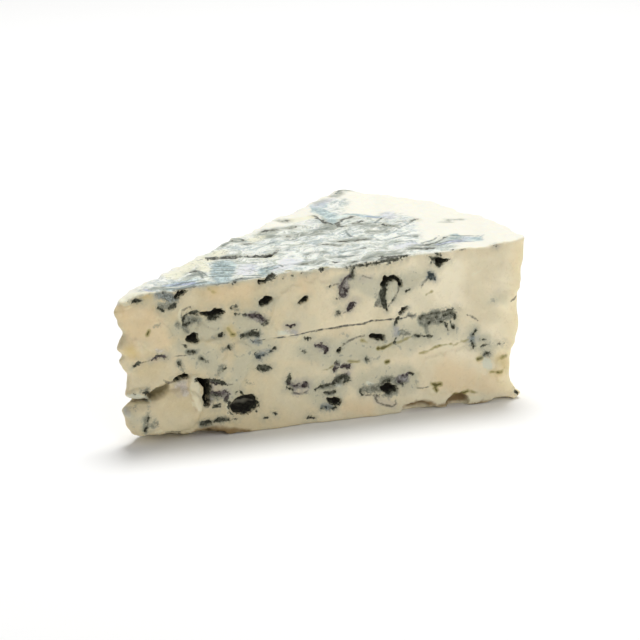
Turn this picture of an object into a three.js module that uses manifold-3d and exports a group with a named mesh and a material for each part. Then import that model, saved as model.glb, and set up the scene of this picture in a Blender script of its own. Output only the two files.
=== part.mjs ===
// A wedge of blue cheese: one solid with two cut faces, a crumbling tip, a bulging rind side,
// a top that slopes up to the rind, and a flat base. Mould pockets, cracks, a needle channel
// and broken edges are cut into it.
//
// Frame, in millimetres: +Z up, +X from the tip to the rind along the middle of the wedge.
// The origin is the middle of the bounding box's base.
// While it is being shaped, the wedge's tip line stands at x = 0, y = 0.
import * as THREE from "three";
import { mergeVertices } from "three/addons/utils/BufferGeometryUtils.js";
import Module from "manifold-3d";

const wasm = await Module();
wasm.setup();

// Driving dimensions
const CUT_LENGTH = 120; // tip to rind along each cut face
const WEDGE_ANGLE = THREE.MathUtils.degToRad(38);
const TIP_HEIGHT = 43;
const RIND_HEIGHT = 47;
const RIND_BULGE = 10.5; // of the rind's middle beyond the straight line between its corners
const NOSE_HALF_WIDTH = 1.5;
const EDGE_WEAR = 0.8; // how far the edges are rounded off
const TIP_REACH = 7; // how far along the faces the tip's crumbling reaches
const RIND_REACH = 9;
const TOP_DROOP = 1.6; // how far the top falls away at the very tip
const DROOP_REACH = 3.5;
const CORNER = [115, -38.5]; // where the top rises a little, at the rind's near corner
const CORNER_REACH = 6;
const CORNER_RISE = 1.2;

// Half the wedge's angle, as used all over, and the two cut faces' sides
const HALF = WEDGE_ANGLE / 2;
const NEAR = -1; // the cut face on the -Y side
const FAR = 1;

// Segments of the body's grid, and how much closer its columns stand near the tip
const ALONG = 36;
const ACROSS = 10;
const UP = 18;
const CROWDING = 1.12;

// How far the tip's edge sets back, by height: [z, setback]
const TIP_PROFILE = [
  [0, 6], [3, 4], [6, 2.5], [10, 1.7], [12.6, 4.3], [14.5, 2.3], [16.5, 2.8], [20, 3.1], [22.5, 1.2],
  [24.5, 0.2], [26, 1], [28, -0.5], [31.8, 2], [35, 0.4], [38.5, -1], [40.7, 0.4], [43, 1.6],
];
// How far the rind sets back, by height
const RIND_PROFILE = [
  [0, 1.5], [1.6, 0], [3.2, 2.1], [5.5, 3.8], [8, 4.6], [12.5, 4.7], [15, 4], [17.4, 2.2], [20, 2.2],
  [24, 2.4], [32, 2.4], [33.5, 0.8], [36, -0.4], [42, -1], [47, -1],
];

// The waves that a surface's swells add up from: [height, turn per mm along, per mm across, with the phase]
const SWELL_WAVES = [
  [0.2, 0.19, 0.13, 1], [0.16, 0.17, -0.21, 1.4], [0.2, 0.41, -0.3, 2], [0.12, 0.83, 0.62, 3],
];
const NEAR_PHASE = 0.9;
const FAR_PHASE = 2.3;
const TOP_PHASE = 1.7;
const RIND_PHASE = 0.6;
const RIND_SWELL = 2; // the rind swells more than the cut faces

// The waves in a pebble's outline: [lobes, height, turn from one pebble to the next]
const PEBBLE_WAVES = [[2, 0.16, 1.7], [5, 0.12, 2.9]];

// Pieces that stand out of the near face at the tip's foot:
// [along, up, half length, half height, tilt in degrees, how far it stands out, half thickness]
const LUMPS = [
  [10.6, 8.4, 11.4, 6.8, 5, 1.5, 6],
  [3.8, 14.6, 4.4, 1.5, 5, 0.9, 3],
  [20, 13.4, 1.9, 5, -5, 1.3, 4],
];
// Pockets on the near cut face: [along, up, half length, half height, tilt in degrees, depth]
const NEAR_POCKETS = [
  [34.9, 8.2, 4.4, 2.9, 4, 5.5],
  [19.6, 28.9, 1.9, 1.2, -12, 3],
  [25.6, 35.5, 3.6, 1.2, -1, 3.4],
  [18.8, 33.2, 1.4, 2, 0, 1.2],
  [16, 42, 1.9, 0.8, 25, 2.2],
  [13.4, 38.8, 1.3, 0.8, 40, 1.2],
  [41.3, 43.2, 2.4, 0.8, 18, 2.2],
  [41.1, 37.5, 2.1, 1.2, 16, 2.6],
  [52, 36.5, 1.5, 0.8, 28, 2],
  [37, 28.3, 2.6, 0.9, 0, 1.1],
  [39.4, 32.6, 3, 0.9, -25, 1.1],
  [41, 18.1, 2.1, 0.9, -4, 1.3],
  [41.2, 22.2, 3, 0.8, 28, 1.1],
  [57.5, 22.5, 2, 0.8, -18, 1.2],
  [61.4, 6.2, 2, 1, -22, 2.8],
  [63.1, 21.2, 1, 0.7, 40, 1.6],
  [74.8, 23.3, 2.3, 0.9, -16, 2.2],
  [79.1, 39.9, 2.9, 1.1, -6, 2.4],
  [76.5, 36.2, 0.9, 2.6, 0, 1.6],
  [78.5, 7.5, 2.5, 1.4, 5, 2.6],
  [82.4, 30.6, 1.4, 0.8, 34, 1.6],
  [94.6, 43.5, 2.5, 1, 6, 2.2],
  [66.9, 33.4, 1.5, 0.8, 45, 1.3],
  [64.6, 38, 1.1, 2, 0, 1.1],
  [94, 27.2, 5.6, 1.8, 8, 1.2],
  [64.4, 12.2, 2.2, 1.4, 15, 1.2],
  [50, 12.6, 2.6, 1, -5, 1],
  [60.5, 8.7, 1.4, 0.8, 10, 1],
  [64, 16, 2.4, 0.8, 4, 1],
  [83, 10.8, 2.6, 1.2, 35, 1.2],
  [91.6, 39.6, 1.6, 0.8, -40, 1.2],
  [27, 12.2, 2.4, 1, -4, 1.6],
];
// Pieces broken off the lower edges of the two cut faces, in the same form
const NEAR_CHIPS = [
  [8.5, 0, 12, 3, -3, 7],
  [24, 0, 9, 1.9, -4, 4.5],
  [87.6, 0.8, 4.4, 2, -2, 2.4],
  [100.4, 1.4, 3.8, 2.2, 4, 2.4],
  [92.6, 0, 2.2, 1, 0, 2],
  [114.5, -0.3, 6, 1.5, 0, 2.5],
];
const FAR_CHIPS = [
  [34, 0, 5, 2.2, 0, 3.5],
  [71, 0.4, 3.6, 1.8, 4, 3],
  [104, 0, 6, 2.4, -3, 4],
];
// Creases in the top: [x, y, half length, half width, turn in degrees, depth]
const TOP_CREASES = [
  [43.3, 8.4, 5, 1, -31, 0.9],
  [51.5, 3.9, 4.8, 1, -29, 0.9],
  [88.2, 17.6, 3.6, 0.8, 60, 0.8],
  [98, -0.3, 3.4, 0.6, 86, 0.7],
  [104.8, -1.4, 1.6, 0.6, 4, 0.7],
];
// The crack over the lumps, on the near face and where it dies out on the far one: [along, up, half width]
const NEAR_CREVICE = [
  [-4, 12.5, 0.8], [2, 12.5, 0.5], [6.6, 12.8, 0.6], [9.2, 14.4, 1.3], [12.6, 16.4, 0.7],
  [15.6, 18.2, 0.6], [18, 18.6, 0.5], [21.2, 17.4, 0.5], [22.9, 15.7, 0.9], [23.4, 13.4, 1],
  [23.4, 11.2, 0.9], [23.7, 9.4, 0.5],
];
const NEAR_CREVICE_DEPTH = 6;
const FAR_CREVICE = [[-4, 12.4, 0.9], [3, 12.5, 0.7], [7, 13.8, 0.8], [11, 13, 0.5], [15, 14.4, 0.2]];
const FAR_CREVICE_DEPTH = 2.5;
// The straight channel that a needle left, cut open along its length
const NEEDLE_CHANNEL = [
  [40, 26.3, 0.15], [49, 26.8, 0.2], [57.6, 27.3, 0.3], [65, 27.7, 0.3], [73, 28.2, 0.3], [82, 28.2, 0.15],
];
const NEEDLE_DEPTH = 0.8;
const CRACK_MOUTH = 2; // how far a crack's cut stands out of the face

// Pockets that no list places: on the far cut face and the rind
const FAR_POCKETS = 12;
const FAR_SMALLEST = 1.3; // half the length of the smallest, and how much more the largest may have
const FAR_SPREAD = 3.4;
const FAR_SPACING = 2;
const RIND_PITS = 4;
const SEED = 41;

// A random source that always gives the same numbers
function seededRandom(seed) {
  let state = seed;
  return () => {
    state = (state * 1664525 + 1013904223) % 4294967296;
    return state / 4294967296;
  };
}

// The value at x of the smooth line through [x, value] pairs
function along(profile, x) {
  const last = profile.length - 1;
  if (x <= profile[0][0]) return profile[0][1];
  if (x >= profile[last][0]) return profile[last][1];
  const i = profile.findIndex((point) => point[0] > x);
  const [x0, y0] = profile[i - 1];
  const [x1, y1] = profile[i];
  return THREE.MathUtils.lerp(y0, y1, THREE.MathUtils.smoothstep(x, x0, x1));
}

// A share that falls from 1 at no distance to nothing beyond about twice the reach
function fade(distance, reach) {
  return Math.exp(-((distance / reach) ** 2));
}

// How far a surface swells out at a point, given by two coordinates on it
function swell(a, b, phase) {
  const heights = SWELL_WAVES.map(([height, turnA, turnB, turn]) => {
    return height * Math.sin(turnA * a + turnB * b + turn * phase);
  });
  return heights.reduce((sum, height) => sum + height);
}

function toSolid(geometry) {
  const bare = geometry.clone();
  bare.deleteAttribute("normal");
  bare.deleteAttribute("uv");
  const merged = mergeVertices(bare, 1e-4);
  return new wasm.Manifold(
    new wasm.Mesh({
      numProp: 3,
      vertProperties: new Float32Array(merged.attributes.position.array),
      triVerts: new Uint32Array(merged.index.array),
    }),
  );
}

function toGeometry(solid) {
  const mesh = solid.getMesh();
  const geometry = new THREE.BufferGeometry();
  geometry.setAttribute("position", new THREE.BufferAttribute(mesh.vertProperties, 3));
  geometry.setIndex(new THREE.BufferAttribute(mesh.triVerts, 1));
  geometry.computeVertexNormals();
  return geometry;
}

// The wedge's height above a point at distance s from the tip
function heightAt(s) {
  return THREE.MathUtils.lerp(TIP_HEIGHT, RIND_HEIGHT, s / CUT_LENGTH);
}

// Where a point of the unit grid goes: u runs from the tip to the rind, v from the near face (-1)
// to the far face (+1), and w from the base to the top
function wedgePoint(u, v, w) {
  const s = CUT_LENGTH * u ** CROWDING;
  const z = w * heightAt(s);
  const point = new THREE.Vector3(
    s * Math.cos(HALF) + RIND_BULGE * (1 - v * v) * u ** 3,
    v * (s * Math.sin(HALF) + NOSE_HALF_WIDTH),
    z,
  );
  point.x -= NOSE_HALF_WIDTH * (1 - v * v) * (1 - u);
  point.x += along(TIP_PROFILE, z) * fade(s, TIP_REACH);
  point.x -= along(RIND_PROFILE, z) * fade(CUT_LENGTH - s, RIND_REACH);

  // Swells of the outer faces
  const [onFace, onRind, onTop, onBase] = [Math.abs(v) === 1, u === 1, w === 1, w === 0];
  const outward = new THREE.Vector3(-Math.sin(HALF), Math.sign(v) * Math.cos(HALF), 0);
  if (onFace) point.addScaledVector(outward, swell(s, z, v < 0 ? NEAR_PHASE : FAR_PHASE));
  if (onRind) point.x += RIND_SWELL * swell(point.y, z, RIND_PHASE);
  if (onTop) point.z += swell(point.x, point.y, TOP_PHASE);

  // Worn edges: a point on two or three outer faces is drawn in
  const wear = EDGE_WEAR * (1 + 0.5 * Math.sin(0.9 * s + 2 * v) * Math.cos(0.37 * s + z));
  if (onFace && (onRind || onTop || onBase)) point.addScaledVector(outward, -wear);
  if (onRind && (onFace || onTop || onBase)) point.x -= wear;
  if (onTop && (onFace || onRind)) point.z -= wear;
  if (onTop) {
    const fromCorner = Math.hypot(point.x - CORNER[0], point.y - CORNER[1]);
    point.z += CORNER_RISE * fade(fromCorner, CORNER_REACH) - TOP_DROOP * fade(s, DROOP_REACH);
  }
  return point;
}

// The body's surface: a box's grid with each of its points moved by wedgePoint
function wedgeBody() {
  const box = new THREE.BoxGeometry(1, 2, 1, ALONG, ACROSS, UP);
  const position = box.attributes.position;
  for (let i = 0; i < position.count; i++) {
    const moved = wedgePoint(position.getX(i) + 0.5, position.getY(i), position.getZ(i) + 0.5);
    position.setXYZ(i, moved.x, moved.y, moved.z);
  }
  return toSolid(box);
}

// A frame on a cut face at a distance s from the tip and a height z. Its Z axis points out of the
// cheese, its Y axis up, and its X axis along the face: to the rind on the near face, and to the
// tip on the far one.
function faceFrame(side, s, z) {
  const alongFace = new THREE.Vector3(Math.cos(HALF), side * Math.sin(HALF), 0).multiplyScalar(-side);
  const outward = new THREE.Vector3(-Math.sin(HALF), side * Math.cos(HALF), 0);
  const up = new THREE.Vector3(0, 0, 1);
  const frame = new THREE.Matrix4().makeBasis(alongFace, up, outward);
  return frame.setPosition(s * Math.cos(HALF), side * (s * Math.sin(HALF) + NOSE_HALF_WIDTH), z);
}

// A frame on the top at a point, turned about the upright
function topFrame(x, y, turn) {
  const frame = new THREE.Matrix4().makeRotationZ(THREE.MathUtils.degToRad(turn));
  return frame.setPosition(x, y, heightAt(Math.hypot(x, y)));
}

// A frame on the rind, at a share from -1 to 1 of its width
function rindFrame(share, z) {
  const halfWidth = CUT_LENGTH * Math.sin(HALF);
  const outward = new THREE.Vector3(1, (2 * RIND_BULGE * share) / halfWidth, 0).normalize();
  const up = new THREE.Vector3(0, 0, 1);
  const across = new THREE.Vector3().crossVectors(up, outward);
  const frame = new THREE.Matrix4().makeBasis(across, up, outward);
  const x = CUT_LENGTH * Math.cos(HALF) + RIND_BULGE * (1 - share * share) - along(RIND_PROFILE, z);
  return frame.setPosition(x, share * halfWidth, z);
}

// An uneven ellipsoid: half sizes in its own frame, a tilt about its Z axis, a number that makes
// it unlike the others, and how many sides and rings it has
function pebble(frame, [halfLength, halfHeight, halfDepth], tilt, unlike, sides, rings) {
  const ball = new THREE.SphereGeometry(1, sides, rings).rotateX(Math.PI / 2);
  const position = ball.attributes.position;
  const point = new THREE.Vector3();
  for (let i = 0; i < position.count; i++) {
    point.fromBufferAttribute(position, i);
    const angle = Math.atan2(point.y, point.x);
    let wave = 0;
    for (const [lobes, height, turn] of PEBBLE_WAVES) wave += height * Math.sin(lobes * angle + turn * unlike);
    const uneven = 1 + wave * Math.hypot(point.x, point.y);
    position.setXYZ(i, point.x * halfLength * uneven, point.y * halfHeight * uneven, point.z * halfDepth);
  }
  ball.applyMatrix4(new THREE.Matrix4().makeRotationZ(THREE.MathUtils.degToRad(tilt)));
  ball.applyMatrix4(frame);
  return toSolid(ball);
}

function moved(frame, distance) {
  return frame.clone().multiply(new THREE.Matrix4().makeTranslation(0, 0, distance));
}

// A pocket's ellipsoid has its middle just inside the surface, and a small one has fewer sides
function pocket(frame, [halfLength, halfHeight, tilt, depth], unlike) {
  const sides = halfLength < 2 ? 6 : Math.min(5 + Math.round(halfLength), 12);
  const rings = halfLength < 3.5 ? 4 : 6;
  return pebble(moved(frame, -0.15 * depth), [halfLength, halfHeight, depth], tilt, unlike, sides, rings);
}

function lump([s, z, halfLength, halfHeight, tilt, proud, halfDepth], unlike) {
  const frame = moved(faceFrame(NEAR, s, z), proud - halfDepth);
  const sides = 10 + Math.round(halfLength / 1.5);
  return pebble(frame, [halfLength, halfHeight, halfDepth], tilt, unlike, sides, 10);
}

// A crack in a cut face along a line of [along, up, half width] points, cut straight in
function crack(side, line, depth) {
  const left = [];
  const right = [];
  line.forEach(([s, z, half], i) => {
    const before = line[Math.max(i - 1, 0)];
    const after = line[Math.min(i + 1, line.length - 1)];
    const across = new THREE.Vector2(before[1] - after[1], after[0] - before[0]).setLength(half);
    left.push(new THREE.Vector2(-side * (s + across.x), z + across.y));
    right.push(new THREE.Vector2(-side * (s - across.x), z - across.y));
  });
  const outline = new THREE.Shape([...right, ...left.reverse()]);
  const cut = new THREE.ExtrudeGeometry(outline, { depth: depth + CRACK_MOUTH, bevelEnabled: false });
  cut.translate(0, 0, -depth);
  cut.applyMatrix4(faceFrame(side, 0, 0));
  return toSolid(cut);
}

// Pockets of many sizes, mostly small, that keep clear of each other
function farPockets() {
  const random = seededRandom(SEED);
  const placed = [];
  while (placed.length < FAR_POCKETS) {
    const s = 14 + random() * (CUT_LENGTH - 28);
    const z = 6 + random() * (TIP_HEIGHT - 12);
    const halfLength = FAR_SMALLEST + FAR_SPREAD * random() ** 2.5;
    const clear = placed.every((p) => Math.hypot(p.s - s, p.z - z) > p.halfLength + halfLength + FAR_SPACING);
    if (!clear) continue;
    const shape = [halfLength, halfLength * (0.45 + 0.3 * random()), -30 + 70 * random(), 1 + 0.6 * halfLength];
    placed.push({ s, z, halfLength, shape });
  }
  return placed.map(({ s, z, shape }, i) => pocket(faceFrame(FAR, s, z), shape, i));
}

function rindPits() {
  const random = seededRandom(SEED + 1);
  return Array.from({ length: RIND_PITS }, (_, i) => {
    const share = -0.8 + (1.6 * (i + 0.5 * random())) / (RIND_PITS - 1);
    const z = 9 + 28 * random();
    return pocket(rindFrame(share, z), [1.6 + random(), 1.1, 20, 1.4], i);
  });
}

const cuts = [
  crack(NEAR, NEAR_CREVICE, NEAR_CREVICE_DEPTH),
  crack(FAR, FAR_CREVICE, FAR_CREVICE_DEPTH),
  crack(NEAR, NEEDLE_CHANNEL, NEEDLE_DEPTH),
  ...[...NEAR_POCKETS, ...NEAR_CHIPS].map(([s, z, ...shape], i) => pocket(faceFrame(NEAR, s, z), shape, i)),
  ...FAR_CHIPS.map(([s, z, ...shape], i) => pocket(faceFrame(FAR, s, z), shape, i)),
  ...TOP_CREASES.map(([x, y, halfLength, halfWidth, turn, depth], i) =>
    pocket(topFrame(x, y, turn), [halfLength, halfWidth, 0, depth], i),
  ),
  ...farPockets(),
  ...rindPits(),
];

// One solid: the body and its lumps, less the cuts. A crumb that the cuts set loose is dropped.
const body = wasm.Manifold.union([wedgeBody(), ...LUMPS.map(lump)]);
const pieces = body.subtract(wasm.Manifold.union(cuts)).decompose();
const whole = pieces.sort((a, b) => b.volume() - a.volume())[0];
const geometry = toGeometry(whole);

// The origin goes to the middle of the bounding box's base
geometry.computeBoundingBox();
const { min, max } = geometry.boundingBox;
geometry.translate(-(min.x + max.x) / 2, -(min.y + max.y) / 2, -min.z);

const paste = new THREE.MeshStandardMaterial({ color: 0xddd2b4, roughness: 0.55, metalness: 0 });
const cheese = new THREE.Mesh(geometry, paste);
cheese.name = "cheese_wedge";

const wedge = new THREE.Group();
wedge.add(cheese);

export default wedge;
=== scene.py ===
"""The looks of the blue cheese wedge: one piece that replaces the CAD solid, with the same form, finer
relief, and mould and marbling placed one by one on what the photograph shows and by a seeded rule on the
rest.

Lengths here are millimetres until the mesh is made, and metres after that. The wedge is shaped in its own
coordinates, with its tip line at x = 0, y = 0, and is then put where the CAD node is. A point on a cut face
is given by s, its distance from the tip line along the face, and z, its height.
"""

import math
from types import SimpleNamespace

import bpy
import numpy as np
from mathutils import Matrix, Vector


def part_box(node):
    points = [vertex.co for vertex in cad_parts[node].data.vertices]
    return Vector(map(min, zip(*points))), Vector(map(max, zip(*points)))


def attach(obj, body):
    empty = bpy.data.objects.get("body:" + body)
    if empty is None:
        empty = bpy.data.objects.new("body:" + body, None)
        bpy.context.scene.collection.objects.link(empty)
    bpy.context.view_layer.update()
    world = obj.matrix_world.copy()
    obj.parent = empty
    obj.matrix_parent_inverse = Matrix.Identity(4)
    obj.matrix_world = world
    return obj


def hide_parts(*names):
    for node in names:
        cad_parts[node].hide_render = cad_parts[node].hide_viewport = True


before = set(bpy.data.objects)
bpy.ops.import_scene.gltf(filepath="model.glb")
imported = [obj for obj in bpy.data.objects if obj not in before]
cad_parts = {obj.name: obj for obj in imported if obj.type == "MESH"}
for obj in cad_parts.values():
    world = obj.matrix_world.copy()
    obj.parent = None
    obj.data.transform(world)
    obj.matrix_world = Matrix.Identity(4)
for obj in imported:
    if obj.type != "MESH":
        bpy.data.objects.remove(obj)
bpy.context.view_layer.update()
NODE = "cheese_wedge"
MM = 0.001

# The wedge's driving dimensions, the same as the CAD solid's
CUT_LENGTH = 120.0
WEDGE_ANGLE = math.radians(38)
TIP_HEIGHT = 43.0
RIND_HEIGHT = 47.0
RIND_BULGE = 10.5
NOSE_HALF_WIDTH = 1.5
TIP_REACH = 7.0
RIND_REACH = 9.0
TOP_DROOP = 1.6
DROOP_REACH = 3.5
HALF = WEDGE_ANGLE / 2
SIN, COS = math.sin(HALF), math.cos(HALF)
TIP_PROFILE = [
    (0, 6), (3, 4), (6, 2.5), (10, 1.7), (12.6, 4.3), (14.5, 2.3), (16.5, 2.8), (20, 3.1), (22.5, 1.2),
    (24.5, 0.2), (26, 1), (28, -0.5), (31.8, 2), (35, 0.4), (38.5, -1), (40.7, 0.4), (43, 1.6),
]
RIND_PROFILE = [
    (0, 1.5), (1.6, 0), (3.2, 2.1), (5.5, 3.8), (8, 4.6), (12.5, 4.7), (15, 4), (17.4, 2.2), (20, 2.2),
    (24, 2.4), (32, 2.4), (33.5, 0.8), (36, -0.4), (42, -1), (47, -1),
]
SWELL_WAVES = [(0.2, 0.19, 0.13, 1), (0.16, 0.17, -0.21, 1.4), (0.2, 0.41, -0.3, 2), (0.12, 0.83, 0.62, 3)]
NEAR_PHASE, FAR_PHASE, TOP_PHASE, RIND_PHASE = 0.9, 2.3, 1.7, 0.6
RIND_SWELL = 2.0

# Pieces broken off the lower edges, as in the CAD solid: (s, z, half length, half height, tilt, depth)
NEAR_CHIPS = [
    (8.5, 0, 12, 3, -3, 7), (24, 0, 9, 1.9, -4, 4.5), (87.6, 0.8, 4.4, 2, -2, 2.4),
    (100.4, 1.4, 3.8, 2.2, 4, 2.4), (92.6, 0, 2.2, 1, 0, 2), (114.5, -0.3, 6, 1.5, 0, 2.5),
]
FAR_CHIPS = [(34, 0, 5, 2.2, 0, 3.5), (71, 0.4, 3.6, 1.8, 4, 3), (104, 0, 6, 2.4, -3, 4)]
CHIP_SINK = 0.15
CHIP_WAVE = 0.9

# The far face's pockets and the rind's pits follow the CAD solid's rule and seed
SEED = 41
FAR_POCKETS = 12
FAR_SMALLEST, FAR_SPREAD, FAR_SPACING = 1.3, 3.4, 2
FAR_MARGIN_S, FAR_MARGIN_Z = 14, 6
FAR_SIZE_POWER = 2.5
FAR_FLATTEST, FAR_FLATNESS_SPREAD = 0.45, 0.3
FAR_TILT, FAR_TILT_SPREAD = -30, 70
RIND_PITS = 4
RIND_PIT_SPAN = 0.8
RIND_PIT_LOWEST, RIND_PIT_SPREAD = 9, 28
RIND_PIT_SMALLEST = 1.6

# The grid that the surface is drawn from, and how far it reaches each way
STEP = 0.4
S_RANGE, Z_RANGE, N_RANGE = (-8, 128.5), (-0.9, 50), (-3.4, 81)
FAR_RANGE, RIND_RANGE, TIP_RANGE = (-12, 136), (-48, 48), (-9, 9)
N_FINE, N_COARSE, N_GROWTH, N_CLOSE = 0.34, 1.0, 0.05, 2
MOST_TRIANGLES = 190000

# How softly the wedge's sides meet, and how far past the rind's ends its bulge is worked out
EDGE_ROUND, TOP_ROUND, BASE_ROUND = 1.6, 0.6, 1.0
BULGE_LIMIT = 1.2

# The surface keeps all its triangles this far behind the near face and below the top, and above this height
SEEN_BEHIND_NEAR, SEEN_BELOW_TOP, SEEN_ABOVE = 4, 3, 0.5

# A stroke is a line of (along, up, half width) points. These lie on the near face, from the tip to the rind:
# first the forms, then the mould's marks, then the tints.
LUMP = [[(4.5, 7.2, 5.2), (10.5, 8.4, 6.2), (15.8, 9, 6.2)]]
LIP = [[(0.5, 14.3, 1.2), (4, 14.4, 1.6), (7, 15.2, 0.8)]]
RIDGE = [[(19.5, 17.4, 1.3), (19.8, 13.4, 1.8), (20.6, 9.6, 1.5)]]
FLAKES = [
    [(93, 10.5, 6.2), (100, 11, 6.6), (104, 11.5, 5.5)], [(22.6, 31, 1.6), (25, 28.5, 2.6)],
    [(17.2, 36.9, 0.6), (18.6, 37.2, 0.7)], [(109, 12.2, 1.6), (110, 11, 1.2)],
    [(112.8, 12, 1.6), (113.2, 7, 1.4)], [(78.6, 37.6, 1), (79.2, 35.6, 0.9)], [(50, 33, 8), (56, 35, 7)],
    [(30, 15, 4), (33, 22, 5)], [(4, 36, 5), (9, 30, 5)],
]
# The crevices' dark colour is painted shade in them
CREVICE = [
    [(-3, 12.5, 0.5), (1.5, 12.5, 0.3), (6.2, 12.6, 0.35)],
    [(13.9, 17.4, 0.2), (15.7, 18.2, 0.45), (18, 18.5, 0.35)],
    [(21.4, 17, 0.3), (23, 15.6, 0.8), (23.4, 13.6, 0.9), (23.4, 11.4, 0.8), (23.7, 9.8, 0.4)],
]
FAR_CREVICE = [[(-4, 12.4, 0.9), (3, 12.5, 0.7), (7, 13.8, 0.8), (11, 13, 0.5), (15, 14.4, 0.2)]]
HOLLOW = [[(7.4, 13.8, 1.2), (9.4, 14.7, 1.5), (12, 16, 0.8)]]
RECESS = [[(18.8, 34, 2.4), (19.8, 31, 2.6), (25.2, 31.5, 4), (27.2, 30, 2.4)]]
HOLES = [
    [(32.4, 7.6, 1.7), (34, 8.3, 2.7), (36, 8.5, 2.5), (37.4, 8, 1.5)],
    [(18.6, 29.1, 0.9), (19.8, 29, 1.25), (20.5, 28.4, 0.8)],
    [(22, 35.8, 0.3), (23.8, 35.4, 1), (26.2, 35.5, 1.3), (27.6, 35.5, 0.9), (29, 35.5, 0.3)],
    [(14.4, 41.4, 0.4), (15.8, 42, 0.75), (16.9, 42.5, 0.6), (17.7, 42.8, 0.25)],
    [(39.9, 37.2, 0.9), (41.2, 37.5, 1.2), (42.3, 37.9, 0.9)],
    [(60, 6.8, 0.5), (61.2, 6.2, 1), (62.6, 5.7, 1)], [(62.8, 20.9, 0.6), (63.5, 21.5, 0.5)],
    [(73, 23.8, 0.6), (75, 23.4, 0.8), (76.6, 22.8, 0.6)],
    [(76.6, 38.6, 0.8), (77.2, 39.9, 0.9), (78.6, 40.2, 0.8), (80, 40, 0.8), (81.2, 39.2, 0.8),
     (81.6, 37.9, 0.5)], [(76.9, 7.3, 1), (78.6, 7.6, 1.4), (80, 7.6, 0.9)],
    [(81.5, 30, 0.4), (82.4, 30.7, 0.75), (83.3, 31.2, 0.4)],
    [(51.1, 36, 0.6), (52, 36.4, 0.8), (53, 37, 0.6)],
    [(21.6, 16.8, 0.6), (23.2, 15.7, 1.1), (23.8, 14, 1.1), (23.4, 12, 1.1), (23.4, 10, 0.8)],
    [(14.4, 17.7, 0.4), (15.8, 18.4, 0.6), (17.8, 18.3, 0.6)],
    [(93.2, 43.2, 0.6), (94.4, 43.4, 0.8), (96.9, 43.8, 0.2)],
    [(39.4, 43, 0.3), (40.9, 43.1, 0.6), (42.4, 43.7, 0.95), (43.9, 44.4, 0.5)],
]
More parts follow.
